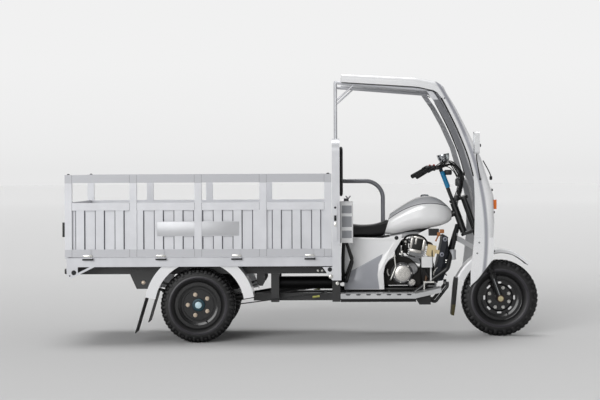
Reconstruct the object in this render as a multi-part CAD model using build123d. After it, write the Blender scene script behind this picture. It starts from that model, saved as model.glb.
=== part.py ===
from build123d import *
import math
import os

# All lengths are in millimetres. X points forward, Y to the left and Z up.
# The floor is at zero height, and X is zero at the middle of the vehicle.

# Clearances
seat_gap = 0.3
pin_gap = 0.3
joint_gap = 5
overrun = 20

# Wheels
wheelbase = 2280
front_axle_x = 1500
tyre_rail_gap = 40
front_tyre_diameter = 584
front_tyre_width = 145
rear_tyre_diameter = 554
rear_tyre_width = 130
bead_diameter = 305
flange_height = 17
rim_width = 95
rim_wall = 4
rim_well_depth = 15
rim_well_width = 40
shoulder_drop = 16
axle_diameter = 20
hub_diameter = 62
front_hub_length = 150
disc_thickness = 5
slot_length = 34
slot_width = 14
slot_count = 8
slot_circle_share = 0.86
wheel_bolt_circle = 160
wheel_bolt_diameter = 22
wheel_bolt_length = 12
front_bolt_count = 8
rear_bolt_count = 5
hub_flange_diameter = 96
tread_groove_count = 40
tread_groove_width = 13
tread_groove_depth = 12
tread_groove_share = 0.4
rear_disc_inset = 22
hub_cap_diameter = 50
hub_cap_length = 26
drum_diameter = 200
drum_length = 34

# Steering
rake_angle = 19.5
head_height = 812
fork_offset = 86
fork_leg_spacing = 216
slider_diameter = 48
slider_length = 185
stanchion_diameter = 32
collar_diameter = 58
collar_length = 34
yoke_thickness = 22
yoke_depth = 60
lower_yoke_drop = 42
stem_diameter = 30
head_tube_diameter = 52
head_tube_length = 236
bar_diameter = 22
bar_height = 509
bar_forward = 5
riser_spacing = 96
riser_diameter = 24
bar_flat_width = 300
bar_bend_back = 83
grip_start_spacing = 600
grip_end_spacing = 800
grip_run_back = 116
grip_run_drop = 67
bar_bend_radius = 70
grip_diameter = 34
grip_length = 125
lever_diameter = 12
lever_reach = 42
switch_diameter = 44
switch_length = 30
bar_clamp_length = 34
meter_diameter = 98
meter_depth = 62
meter_rise = 62
meter_forward = 26
mudguard_gap = 84
mudguard_width = 164
mudguard_skirt = 78
mudguard_wall = 3
mudguard_front_angle = 50
mudguard_rear_angle = 155
front_flap_length = 290
front_flap_thickness = 5
cable_diameter = 8

# Load bed
bed_front_x = 217
bed_length = 1962
bed_width = 1250
bed_frame_bottom = 572
bed_frame_height = 64
bed_frame_wall = 40
floor_sheet = 2.5
cross_member_width = 40
gate_thickness = 38
gate_bottom_gap = 7
gate_height = 604
gate_overhang = 15
bottom_rail_height = 56
mid_rail_height = 56
top_rail_height = 59
panel_height = 286
post_width = 52
post_count = 5
rib_pitch = 144.5
rib_width = 75
rib_depth = 16
rib_slope = 8
panel_sheet = 2
plate_length = 589
plate_height = 109
plate_lift = 95
plate_sheet = 3
hinge_radius = 10
hinge_pin_diameter = 9
hinge_leaf_width = 46
hinge_leaf_height = 66
hinge_leaf_thickness = 6
hinge_lug_width = 10
hinge_place_shares = [0.086, 0.36, 0.643, 0.917]
tail_hinge_shares = [-0.4, 0, 0.4]
tailgate_thickness = 34
tailgate_height = 398
latch_length = 108
latch_width = 22
latch_reach = 26
latch_inset = 60

# Headboard
headboard_depth = 57
headboard_top = 1510
headboard_bottom = 572
headboard_tube = 45
headboard_corner = 90
headboard_sheet = 2.5
headboard_bar_count = 3
side_plate_bottom = 468
side_plate_top = 720
side_plate_depth = 66
side_plate_width = 8
side_plate_heel = 98
side_plate_heel_reach = 72
gate_latch_width = 30
gate_latch_height = 279
gate_latch_depth = 12
gate_latch_top = 1036
backrest_bottom = 1068
backrest_top = 1465
backrest_width = 560
backrest_thickness = 24
backrest_corner = 40

# Main frame
rail_height = 69
rail_width = 50
rail_spacing = 640
lower_rail_bottom = 289
lower_rail_height = 56
lower_rail_spacing = 300
lower_rail_rear_x = -380
lower_rail_front_x = 880
hanger_width = 60
corner_bracket_length = 175
corner_bracket_drop = 87
corner_bracket_wall = 6
corner_plate_width = 82
brace_depth = 30
brace_width = 18
buffer_diameter = 40
buffer_length = 57
backbone_diameter = 48
down_tube_diameter = 38
seat_rail_diameter = 32
seat_rail_height = 754
backbone_low = 740
engine_mount_width = 80
engine_mount_length = 30
stay_front_x = 1294
stay_front_z = 688
seat_rail_spacing = 240
frame_bend = 90
stay_height = 40
stay_foot_share = 0.28
skid_rear_x = 842
skid_front_x = 1000
skid_drop = 36
skid_tube_diameter = 24
skid_cross_diameter = 20
skid_nose_x = 1092
skid_nose_z = 425
stay_thickness = 5

# Rear axle and springs
axle_tube_diameter = 70
differential_diameter = 190
differential_width = 150
backing_plate_thickness = 6
spring_width = 49
spring_leaf = 8
spring_leaf_count = 5
spring_front_reach = 461
spring_rear_reach = 420
spring_eye_rise = 84
spring_eye_diameter = 34
spring_pin_diameter = 14
clamp_plate_length = 120
clamp_plate_height = 10
clamp_bolt_diameter = 12
hanger_plate = 6
front_hanger_drop = 24
rear_hanger_length = 200
rear_hanger_drop = 44
shaft_yoke_length = 40
shaft_diameter = 54

# Engine
crankcase_x = 747
crankcase_z = 488
crankcase_radius = 128
crankcase_width = 210
crankcase_length = 289
crankcase_floor = 398
clutch_cover_diameter = 168
clutch_cover_depth = 46
cylinder_lean = 15
cylinder_width = 132
cylinder_rise = 150
cylinder_forward = 100
cylinder_foot = 77
side_cover_diameter = 96
side_cover_forward = 78
side_cover_rise = 34
oil_pump_diameter = 62
oil_pump_drop = 74
oil_pump_forward = 72
intake_diameter = 40
kick_shaft_x = 660
kick_shaft_z = 440
kick_knee_x = 700
kick_knee_z = 540
kick_end_x = 689
kick_end_z = 626
kick_lever_diameter = 12
kick_pedal_length = 50
pedal_x = 905
pedal_z = 425
pedal_length = 80
pedal_width = 60
pedal_thickness = 10
fin_thickness = 4
fin_pitch = 15
fin_count = 8
fin_overhang = 10
barrel_width = 104
header_diameter = 36
header_gap = 10
header_x = 925
muffler_diameter = 96
muffler_length = 420

# Radiator and front boxes
radiator_height = 340
radiator_depth = 44
radiator_tilt = 12
radiator_x = 1045
radiator_z = 600
radiator_tank = 30
bottle_length = 83
bottle_height = 80
bottle_x = 893
bottle_width = 70
bottle_corner = 8
bottle_foot = 538
bottle_strap = 5
unit_box_x = 998
unit_box_length = 77
unit_box_height = 52
unit_bracket_wall = 6
unit_box_width = 90
coil_height = 87
coil_length = 66
coil_width = 46
coil_bracket = 30
coil_spacing = 220
coil_rise = 44
brake_rod_diameter = 8
brake_rod_front_z = 359
brake_rod_rear_z = 250
brake_lever_length = 60
brake_lever_width = 20
brake_lever_forward = 80

# Tank, seat and panels
tank_rear_x = 617
tank_length = 515
tank_bottom = 786
tank_height = 291
tank_width = 320
seat_rear_x = 295
seat_length = 361
seat_bottom = 770
seat_height = 141
seat_width = 380
panel_rear_x = 305
panel_length = 444
panel_bottom = 371
panel_rise = 417
side_panel_spacing = 400
side_panel_sheet = 4
footboard_bottom = 319
footboard_thickness = 34
footboard_rear_x = 279
footboard_front_x = 842
footboard_nose_x = 1030
footboard_rise = 42
footboard_inner_spacing = 400
footboard_width = 230
footrail_height = 26
footrail_width = 24
reservoir_length = 99
reservoir_width = 200
reservoir_bottom = 735
reservoir_height = 308
reservoir_spacing = 500
reservoir_corner = 10
reservoir_panel_inset = 8
reservoir_panel_depth = 4
reservoir_panel_count = 3
reservoir_cap_diameter = 36
reservoir_cap_height = 22
hose_side_shares = [0.3, 0.7]
hose_drop_shares = [0.95, 0.8]
hose_diameter = 22
grab_rail_diameter = 33
grab_rail_y = 300
grab_rail_top = 1190
grab_rail_reach = 617
grab_rail_bend = 135

# Rear mudguards and lamps
rear_guard_radius = 405
rear_guard_wall = 3
rear_guard_overhang = 85
rear_guard_lip = 75
rear_guard_low_angle = 9.7
flap_length = 262
flap_thickness = 6
tail_lamp_width = 120
tail_lamp_height = 56
tail_lamp_depth = 24

# Canopy
canopy_rear_x = 290
canopy_length = 1141
canopy_bottom = 770
canopy_rise = 1227
canopy_width = 860
canopy_wall = 4
canopy_corner = 46
screen_width = 680
screen_thickness = 4
shield_drop = 367
leg_width = 132
upright_diameter = 25
upright_spacing = 800
band_width = 42
band_thickness = 20
brace_foot_z = 1790
brace_run = 145
head_lamp_diameter = 150
indicator_length = 70
indicator_depth = 28
indicator_reach = 19
lamp_height_share = 0.2
mirror_height = 160
mirror_width = 110
mirror_depth = 40
mirror_x = 1287
mirror_z = 1475
mirror_spacing = 1120
wiper_diameter = 8
wiper_foot_shares = [0.9765, 0.3025]

# Places that follow from the sizes above
rear_axle_x = front_axle_x - wheelbase
rear_track = rail_spacing + rail_width + rear_tyre_width + 2 * tyre_rail_gap
front_axle_z = front_tyre_diameter / 2
rear_axle_z = rear_tyre_diameter / 2
rake = math.radians(rake_angle)
head_drop = head_height - front_axle_z
head_x = front_axle_x - fork_offset / math.cos(rake) - head_drop * math.tan(rake)
axle_drop = head_drop * math.cos(rake) + (front_axle_x - head_x) * math.sin(rake)
bed_rear_x = bed_front_x - bed_length
bed_floor_top = bed_frame_bottom + bed_frame_height + floor_sheet
gate_bottom = bed_floor_top + gate_bottom_gap
hinge_z = gate_bottom - hinge_radius - pin_gap
gate_y = bed_width / 2 + gate_overhang
hinge_inset = gate_y - bed_width / 2
tail_x = bed_rear_x - joint_gap
bed_frame_rear_x = tail_x + hinge_inset
headboard_x = bed_front_x + seat_gap
headboard_front_x = headboard_x + headboard_depth
rail_bottom = bed_frame_bottom - rail_height
guard_outer_y = rear_track / 2 + rear_tyre_width / 2 + rear_guard_overhang
guard_inner_y = rail_spacing / 2 + rail_width / 2 + corner_bracket_wall + joint_gap
header_side = engine_mount_width / 2 + header_gap + header_diameter / 2
plate_inner_y = (rear_track / 2 - rear_disc_inset - drum_length - backing_plate_thickness
                 - joint_gap)
spring_eye_z = (rear_axle_z + axle_tube_diameter / 2 + seat_gap + spring_leaf * spring_leaf_count
                + spring_eye_rise)


def block(x, y, z):
    """A bar between two corners, each given as a pair of places."""
    middle = Pos((x[0] + x[1]) / 2, (y[0] + y[1]) / 2, (z[0] + z[1]) / 2)
    return middle * Box(abs(x[1] - x[0]), abs(y[1] - y[0]), abs(z[1] - z[0]))


def both_sides(piece):
    """The piece and its mirror image on the other side of the vehicle."""
    return piece + mirror(piece, about=Plane.XZ)


def round_bar(start, end, diameter):
    """A straight round bar between two points."""
    line = Line(start, end)
    return sweep(Plane(origin=line @ 0, z_dir=line % 0) * Circle(diameter / 2), line)


def tube(points, diameter, bend):
    """A round tube along straight runs joined by bends of one radius."""
    path = FilletPolyline(*points, radius=bend)
    return sweep(Plane(origin=path @ 0, z_dir=path % 0) * Circle(diameter / 2), path)


def side_plate(points, low_y, high_y):
    """A plate whose outline is drawn in the side view, between two places across."""
    face = make_face(Polyline(*points, close=True))
    return extrude(Plane.XZ.offset(-low_y) * face, -(high_y - low_y))


def scaled_outline(shares, start_x, length, start_z, height):
    """Side view points from their shares of a length and a height."""
    return [(start_x + length * along, start_z + height * up) for along, up in shares]


def wheel_plane(x, y, z):
    """A drawing plane whose first way is the radius and second is across."""
    return Plane(origin=(x, y, z), x_dir=(0, 0, 1), z_dir=(-1, 0, 0))


def turned(profile, x, y, z):
    """A profile of radius and side turned once round an axle."""
    return revolve(wheel_plane(x, y, z) * profile, Axis((x, y, z), (0, 1, 0)))


def turned_ring(inner, outer, low, high, x, y, z):
    """A plain ring round an axle."""
    corners = [(inner, low), (outer, low), (outer, high), (inner, high)]
    return turned(make_face(Polyline(*corners, close=True)), x, y, z)


def body_loft(stations, corner_share):
    """A rounded body through sections at x, with middle height, width and height."""
    sections = []
    for x, z, width, height in stations:
        plane = Plane(origin=(x, 0, z), x_dir=(0, 1, 0), z_dir=(1, 0, 0))
        sections.append(plane * RectangleRounded(width, height, height * corner_share))
    return loft(sections)


# Wheels

def tyre(diameter, width, x, y, z):
    """A tyre with its beads between the rim's flanges and blocks along its shoulders."""
    tread = diameter / 2
    seat = bead_diameter / 2 + seat_gap
    neck = rim_width / 2 - rim_wall - seat_gap
    lip = seat + flange_height
    shoulder = tread - shoulder_drop
    side = width / 2
    flank = (lip + shoulder) / 2
    shoulder_share = 0.9
    tread_share = 0.72
    edges = [Line((seat, -neck), (lip, -neck)),
             ThreePointArc((lip, -neck), (flank, -side), (shoulder, -side * shoulder_share)),
             Line((shoulder, -side * shoulder_share), (tread, -side * tread_share)),
             Line((tread, -side * tread_share), (tread, side * tread_share)),
             Line((tread, side * tread_share), (shoulder, side * shoulder_share)),
             ThreePointArc((shoulder, side * shoulder_share), (flank, side), (lip, neck)),
             Line((lip, neck), (seat, neck)),
             Line((seat, neck), (seat, -neck))]
    near = side * tread_groove_share
    groove = block((tread - tread_groove_depth, tread + overrun), (near, side + overrun),
                   (-tread_groove_width / 2, tread_groove_width / 2))
    pitch = 360 / tread_groove_count
    cuts = []
    for number in range(tread_groove_count):
        cuts.append(Rot(0, pitch * number, 0) * groove)
        cuts.append(Rot(0, pitch * number + pitch / 2, 0) * mirror(groove, about=Plane.XZ))
    carcass = turned(make_face(edges), 0, 0, 0)
    return Pos(x, y, z) * (carcass - cuts)


def rim_barrel(x, y, z):
    """The rolled steel ring that carries the tyre."""
    seat = bead_diameter / 2
    flange = seat + flange_height
    well = seat - rim_well_depth
    half = rim_width / 2
    half_well = rim_well_width / 2
    outer = [(flange, -half), (flange, rim_wall - half), (seat, rim_wall - half),
             (seat, -half_well - rim_wall), (well, -half_well), (well, half_well),
             (seat, half_well + rim_wall), (seat, half - rim_wall), (flange, half - rim_wall),
             (flange, half)]
    inner = [(seat - rim_wall, half), (seat - rim_wall, half_well + rim_wall),
             (well - rim_wall, half_well), (well - rim_wall, -half_well),
             (seat - rim_wall, -half_well - rim_wall), (seat - rim_wall, -half)]
    return turned(make_face(Polyline(*outer, *inner, close=True)), x, y, z)


def front_rim():
    """The front wheel's rim, slotted disc, bolts and hub."""
    place = (front_axle_x, 0, front_axle_z)
    bore = axle_diameter / 2 + pin_gap
    hub = hub_diameter / 2
    well = bead_diameter / 2 - rim_well_depth - rim_wall
    inner = disc_thickness / 2
    rim = rim_barrel(*place)
    rim += turned_ring(bore, hub, -front_hub_length / 2, front_hub_length / 2, *place)
    rim += turned_ring(hub, well + rim_wall / 2, -inner, inner, *place)
    rim += turned_ring(hub, hub_flange_diameter / 2, -3 * inner, 3 * inner, *place)
    slot_circle = well * slot_circle_share
    for number in range(slot_count):
        turn = Rot(0, 360 / slot_count * number, 0)
        slot = Pos(slot_circle, 0, 0) * Rot(90, 0, 0) * Rot(0, 0, 90)
        cutter = extrude(SlotOverall(slot_length, slot_width), overrun, both=True)
        rim -= Pos(*place) * turn * slot * cutter
    for side in (-1, 1):
        rim += wheel_bolts(front_bolt_count, side * inner, side, place)
    return rim


def wheel_bolts(count, face, side, place):
    """A ring of bolt heads on a wheel's disc, from its face outwards."""
    bolts = None
    middle = face + side * wheel_bolt_length / 2
    for number in range(count):
        turn = Pos(*place) * Rot(0, 360 / count * (number + 1 / 2), 0)
        bolt = turn * Pos(wheel_bolt_circle / 2, middle, 0) * Rot(90, 0, 0) * Cylinder(
            wheel_bolt_diameter / 2, wheel_bolt_length)
        bolts = bolt if bolts is None else bolts + bolt
    return bolts


def rear_rim(side):
    """A rear wheel's deep rim with its bolts, hub cap and brake drum."""
    middle = side * rear_track / 2
    place = (rear_axle_x, middle, rear_axle_z)
    well = bead_diameter / 2 - rim_well_depth - rim_wall
    bore = axle_diameter / 2 + pin_gap
    inset = -side * rear_disc_inset
    face = inset + side * disc_thickness
    rim = rim_barrel(*place)
    rim += turned_ring(bore, well + rim_wall / 2, *sorted((inset, face)), *place)
    drum_start = inset - side * drum_length
    rim += turned_ring(bore, drum_diameter / 2, *sorted((drum_start, inset)), *place)
    rim += turned_ring(bore, hub_flange_diameter / 2,
                       *sorted((face, face + side * disc_thickness)), *place)
    cap_end = face + side * hub_cap_length
    rim += turned_ring(bore, hub_cap_diameter / 2, *sorted((face, cap_end)), *place)
    cap_low, cap_high = sorted((cap_end, cap_end + side * rim_wall))
    cap = turned_ring(0, hub_cap_diameter / 2, cap_low, cap_high, *place)
    return rim + cap + wheel_bolts(rear_bolt_count, face, side, place)


# Steering

steering_plane = Plane(origin=(head_x, 0, head_height),
                       x_dir=(math.cos(rake), 0, math.sin(rake)),
                       z_dir=(-math.sin(rake), 0, math.cos(rake)))


def yoke(low):
    """A steel bridge from the stem to both fork legs, from one height up."""
    half = fork_leg_spacing / 2
    outline = [Circle(head_tube_diameter / 2)]
    for side in (-1, 1):
        outline.append(Pos(fork_offset, side * half) * Circle(collar_diameter / 2))
    plate = outline[0] + outline[1] + outline[2]
    bridge = Pos(fork_offset, 0) * Rectangle(yoke_depth, fork_leg_spacing)
    plate += bridge
    plate += Pos(fork_offset / 2, 0) * Rectangle(fork_offset, head_tube_diameter)
    return Pos(0, 0, low) * extrude(plate, yoke_thickness)


def fork():
    """Both legs with their yokes, the stem and the wheel's axle."""
    half = fork_leg_spacing / 2
    low_yoke = -lower_yoke_drop
    high_yoke = low_yoke + yoke_thickness + head_tube_length + 2 * joint_gap
    leg_top = high_yoke + yoke_thickness
    piece = yoke(low_yoke) + yoke(high_yoke)
    stem_height = high_yoke - low_yoke
    piece += Pos(0, 0, low_yoke + stem_height / 2) * Cylinder(stem_diameter / 2, stem_height)
    for side in (-1, 1):
        foot = Pos(fork_offset, side * half, -axle_drop)
        rise = leg_top + axle_drop
        lift = slider_diameter / 2
        piece += foot * Pos(0, 0, rise / 2) * Cylinder(stanchion_diameter / 2, rise)
        piece += foot * Pos(0, 0, slider_length / 2 - lift) * Cylinder(
            slider_diameter / 2, slider_length)
        piece += foot * Pos(0, 0, slider_length - lift + collar_length / 2) * Cylinder(
            collar_diameter / 2, collar_length)
    axle = Pos(fork_offset, 0, -axle_drop) * Rot(90, 0, 0) * Cylinder(
        axle_diameter / 2, fork_leg_spacing + slider_diameter)
    return steering_plane * (piece + axle)


def bar_points(side):
    """The handlebar's centre line on one side, in the steering's own frame."""
    up = bar_height
    back = (grip_run_back, grip_run_drop)
    start = (-bar_forward, 0, up)
    flat = (-bar_forward, side * bar_flat_width / 2, up)
    sweep_x = -bar_forward - bar_bend_back * math.cos(rake)
    sweep_z = up + bar_bend_back * math.sin(rake)
    bend = (sweep_x, side * grip_start_spacing / 2, sweep_z)
    end_x = sweep_x - back[0] * math.cos(rake) - back[1] * math.sin(rake)
    end_z = sweep_z + back[0] * math.sin(rake) - back[1] * math.cos(rake)
    return [start, flat, bend, (end_x, side * grip_end_spacing / 2, end_z)]


def handlebar():
    """The bent bar with its two risers, switches and levers."""
    piece = None
    for side in (-1, 1):
        half = tube(bar_points(side), bar_diameter, bar_bend_radius)
        piece = half if piece is None else piece + half
    top_yoke = -lower_yoke_drop + 2 * yoke_thickness + head_tube_length + 2 * joint_gap
    for side in (-1, 1):
        place = side * riser_spacing / 2
        piece += round_bar((0, place, top_yoke), (-bar_forward, place, bar_height), riser_diameter)
        piece += Pos(-bar_forward, place, bar_height) * Rot(90, 0, 0) * Cylinder(
            (riser_diameter + bar_diameter) / 3, bar_clamp_length)
        piece += lever(side)
    return steering_plane * piece


def lever(side):
    """One side's switch housing with the hand lever that reaches along the grip."""
    points = bar_points(side)
    run = Line(points[3], points[2])
    start = run @ ((grip_length + pin_gap) / run.length)
    end = run @ ((grip_length + pin_gap + switch_length) / run.length)
    housing = round_bar(start, end, switch_diameter)
    ahead = Vector(lever_reach, 0, 0)
    root = (start + end) * (1 / 2)
    tip = run @ (grip_diameter / 2 / run.length) + ahead
    return housing + tube([root, root + ahead, tip], lever_diameter, lever_diameter / 2)


def grips():
    """Rubber sleeves on the bar's ends."""
    pieces = []
    for side in (-1, 1):
        points = bar_points(side)
        line = Line(points[3], points[2])
        reach = grip_length / line.length
        sleeve = round_bar(points[3], line @ reach, grip_diameter)
        bar = tube(points, bar_diameter + 2 * seat_gap, bar_bend_radius)
        pieces.append(steering_plane * (sleeve - bar))
    return pieces[0] + pieces[1]


def speedometer():
    """The round meter on a bracket over the bar."""
    body = Pos(meter_forward, 0, bar_height + meter_rise) * Rot(0, -rake_angle, 0) * Cylinder(
        meter_diameter / 2, meter_depth)
    low = bar_height + bar_diameter / 2
    mid = (low + bar_height + meter_rise) / 2
    stand = Pos(0, 0, mid) * Box(bar_diameter, bar_diameter, meter_rise - bar_diameter / 2)
    bar = Pos(-bar_forward, 0, bar_height) * Rot(90, 0, 0) * Cylinder(
        bar_diameter / 2 + seat_gap, bar_flat_width)
    return steering_plane * (body + stand - bar)


def control_cables():
    """Sheathed cables from the switches down to the fork's top."""
    pieces = []
    top = head_tube_length + 2 * joint_gap + 2 * yoke_thickness - lower_yoke_drop + seat_gap
    for side in (-1, 1):
        place = side * riser_spacing
        rise = bar_height - top
        points = [(bar_diameter / 2 + seat_gap - bar_forward, place, bar_height),
                  (fork_offset, place, bar_height),
                  (fork_offset + riser_diameter, place, top + rise / 2),
                  (fork_offset - riser_diameter, place, top + 2 * riser_diameter),
                  (fork_offset - riser_diameter, place, top)]
        pieces.append(steering_plane * tube(points, cable_diameter, riser_diameter))
    return pieces[0] + pieces[1]


def front_mudguard():
    """The deep guard over the front wheel, open below, with a boss to each fork leg."""
    outer = front_tyre_diameter / 2 + mudguard_gap + mudguard_wall
    half = mudguard_width / 2
    place = (front_axle_x, 0, front_axle_z)
    shell = turned_ring(outer - mudguard_skirt, outer, -half, half, *place)
    shell -= turned_ring(0, outer - mudguard_wall, mudguard_wall - half, half - mudguard_wall,
                         *place)
    corners = [(front_axle_x, front_axle_z)]
    for share in (0, 0.25, 0.5, 0.75, 1):
        turn = mudguard_front_angle + (mudguard_rear_angle - mudguard_front_angle) * share
        turn = math.radians(turn)
        corners.append((front_axle_x + 2 * outer * math.cos(turn),
                        front_axle_z + 2 * outer * math.sin(turn)))
    shell &= side_plate(corners, -half - overrun, half + overrun)
    leg = fork_leg_spacing / 2 - stanchion_diameter / 2 - seat_gap
    height = outer - mudguard_skirt / 2 - axle_drop
    boss = round_bar((fork_offset, half - mudguard_wall / 2, height), (fork_offset, leg, height),
                     bar_diameter)
    return shell + both_sides(steering_plane * boss)


def front_mud_flap():
    """The rubber flap under the front guard's rear end."""
    radius = front_tyre_diameter / 2 + mudguard_gap + mudguard_wall
    turn = math.radians(mudguard_rear_angle)
    top_x = front_axle_x + radius * math.cos(turn)
    top_z = front_axle_z + radius * math.sin(turn) - mudguard_wall
    half = mudguard_width / 2
    low = top_z - front_flap_length
    lean_share = 0.1
    points = [(top_x, top_z), (top_x + front_flap_thickness, top_z),
              (top_x + front_flap_thickness - front_flap_length * lean_share, low),
              (top_x - front_flap_length * lean_share, low)]
    return side_plate(points, -half, half)


# Main frame

def ladder_frame():
    """Rails under the bed with their cross members, spring hangers and buffers."""
    half = rail_width / 2
    side = rail_spacing / 2
    top = bed_frame_bottom - seat_gap
    rail = block((bed_frame_rear_x, bed_front_x), (side - half, side + half), (rail_bottom, top))
    rail += spring_hangers()
    buffer_z = bed_frame_bottom - corner_bracket_drop + buffer_diameter
    rail += round_bar((bed_frame_rear_x, side, buffer_z),
                      (bed_frame_rear_x - buffer_length, side, buffer_z), buffer_diameter)
    piece = both_sides(rail)
    for x in (bed_frame_rear_x + rail_width, rear_axle_x, lower_rail_rear_x):
        piece += block((x, x + rail_width), (-side, side), (rail_bottom, top))
    return piece


def lower_frame():
    """Lower rails with their posts to the bed rails, engine mounts and front skid."""
    half = rail_width / 2
    side = rail_spacing / 2
    low_side = lower_rail_spacing / 2
    low_top = lower_rail_bottom + lower_rail_height
    rail = block((lower_rail_rear_x, lower_rail_front_x), (low_side - half, low_side + half),
                 (lower_rail_bottom, low_top))
    spring_post = rear_axle_x + spring_front_reach + spring_eye_diameter / 2 + hanger_width
    head_post = bed_front_x + seat_gap
    for x, post_top in ((spring_post, rail_bottom), (head_post, headboard_bottom)):
        rail += block((x, x + hanger_width), (side - half, side + half),
                      (lower_rail_bottom, post_top - seat_gap))
        rail += block((x, x + hanger_width), (low_side, side), (lower_rail_bottom, low_top))
    start_z = lower_rail_bottom + skid_tube_diameter
    rail += tube([(skid_rear_x, low_side, start_z),
                  (lower_rail_front_x, low_side, start_z),
                  (skid_front_x, low_side, lower_rail_bottom - skid_drop / 2),
                  (skid_nose_x, low_side, skid_nose_z - skid_drop),
                  (skid_nose_x, low_side, skid_nose_z)], skid_tube_diameter, skid_tube_diameter)
    rail += side_plate([(skid_rear_x, start_z), (skid_front_x - skid_drop, low_top),
                        (skid_front_x - skid_drop, lower_rail_bottom - skid_drop),
                        (skid_rear_x + skid_drop, lower_rail_bottom - skid_drop)],
                       low_side + half, low_side + half + corner_bracket_wall)
    piece = both_sides(rail)
    mount_top = crankcase_floor - seat_gap
    mount = engine_mount_width / 2
    reach = crankcase_length / 2 - engine_mount_length
    for x in (crankcase_x - reach, crankcase_x + reach):
        piece += block((x - half, x + half), (-low_side, low_side), (lower_rail_bottom, low_top))
        piece += block((x - engine_mount_length / 2, x + engine_mount_length / 2),
                       (-mount, mount), (low_top, mount_top))
    piece += round_bar((skid_nose_x, -low_side, skid_nose_z - skid_tube_diameter),
                       (skid_nose_x, low_side, skid_nose_z - skid_tube_diameter),
                       skid_cross_diameter)
    x = head_post
    return piece + block((x, x + rail_width), (-low_side, low_side), (lower_rail_bottom, low_top))


def spring_hangers():
    """Cheek plates and pins that hold the left spring's ends, and the rear end's shackle."""
    inner = rail_spacing / 2 - rail_width / 2
    outer = rail_spacing / 2 + rail_width / 2
    front_x = rear_axle_x + spring_front_reach
    rear_x = rear_axle_x - spring_rear_reach
    low = spring_eye_z - front_hanger_drop
    high = rail_bottom + hanger_width / 2
    half = hanger_width / 2
    front = [(front_x - half, high), (front_x - half, low + half), (front_x - half / 2, low),
             (front_x + half / 2, low), (front_x + half, low + half), (front_x + half, high)]
    reach = rear_hanger_length / 2
    low = spring_eye_z - rear_hanger_drop
    rear = [(rear_x - reach, high), (rear_x - reach, rail_bottom), (rear_x - reach / 2, low),
            (rear_x + reach / 3, low), (rear_x + reach, rail_bottom), (rear_x + reach, high)]
    piece = None
    for points in (front, rear):
        for near, far in ((inner - hanger_plate, inner), (outer, outer + hanger_plate)):
            plate = side_plate(points, near, far)
            piece = plate if piece is None else piece + plate
    for x in (front_x, rear_x):
        piece += round_bar((x, inner - hanger_plate, spring_eye_z),
                           (x, outer + hanger_plate, spring_eye_z), spring_pin_diameter)
    return piece


def cradle_frame():
    """Head tube, backbone, down tubes, seat rails and the shield's stays."""
    bore = stem_diameter / 2 + pin_gap
    head_low = yoke_thickness - lower_yoke_drop + joint_gap
    head_mid = head_low + head_tube_length / 2
    head = Pos(0, 0, head_mid) * Cylinder(head_tube_diameter / 2, head_tube_length)
    hollow = Pos(0, 0, head_mid) * Cylinder(bore, head_tube_length + overrun)
    low_side = lower_rail_spacing / 2
    low_top = lower_rail_bottom + lower_rail_height
    seat_side = seat_rail_spacing / 2
    rear_x = seat_rear_x + seat_rail_diameter
    leg_side = low_side - rail_width / 2 + seat_rail_diameter / 2
    tank_middle = tank_rear_x + tank_length / 2
    seat_rail = tube([(tank_middle, 0, backbone_low + backbone_diameter),
                      (tank_rear_x, seat_side, seat_rail_height),
                      (rear_x, seat_side, seat_rail_height), (rear_x, leg_side, low_top)],
                     seat_rail_diameter, seat_rail_diameter)
    down_x = head_x - lower_yoke_drop
    down = tube([(down_x, 0, head_height + down_tube_diameter),
                 (down_x - frame_bend, low_side, low_top + 2 * frame_bend),
                 (lower_rail_front_x - down_tube_diameter, low_side, low_top)],
                down_tube_diameter, frame_bend / 2)
    down_top = Vector(down_x, 0, head_height + down_tube_diameter)
    down_knee = Vector(down_x - frame_bend, low_side, low_top + 2 * frame_bend)
    foot = down_top + (down_knee - down_top) * stay_foot_share
    stay_y = canopy_width / 2 - canopy_wall - band_thickness
    stay = flat_bar(foot, (stay_front_x, stay_y, stay_front_z), stay_thickness, stay_height)
    frame = backbone(backbone_diameter) + both_sides(seat_rail) + both_sides(down)
    frame += both_sides(stay)
    panel_y = side_panel_spacing / 2 - side_panel_sheet - seat_gap
    for x in (rear_x, tank_rear_x - seat_rail_diameter):
        frame += round_bar((x, -panel_y, seat_rail_height), (x, panel_y, seat_rail_height),
                           seat_rail_diameter / 2)
    frame += steering_plane * head
    frame -= block((lower_rail_rear_x, lower_rail_front_x), (-rail_spacing, rail_spacing),
                   (lower_rail_bottom, low_top + seat_gap))
    return frame - steering_plane * hollow


def backbone(diameter):
    """The main tube from the head tube back under the tank and seat."""
    rise = head_tube_length - lower_yoke_drop
    neck_x = head_x - rise * math.sin(rake)
    neck_z = head_height + rise * math.cos(rake) - backbone_diameter
    return tube([(neck_x, 0, neck_z),
                 (tank_rear_x + tank_length / 2, 0, tank_bottom + backbone_diameter / 2),
                 (tank_rear_x, 0, backbone_low),
                 (seat_rear_x, 0, backbone_low)], diameter, frame_bend)


def flat_bar(start, end, thickness, height):
    """A straight upright strip between two points."""
    line = Line(start, end)
    across = Vector(0, 0, 1).cross(line % 0)
    plane = Plane(origin=line @ 0, x_dir=across, z_dir=line % 0)
    return sweep(plane * Rectangle(thickness, height), line)


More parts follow.
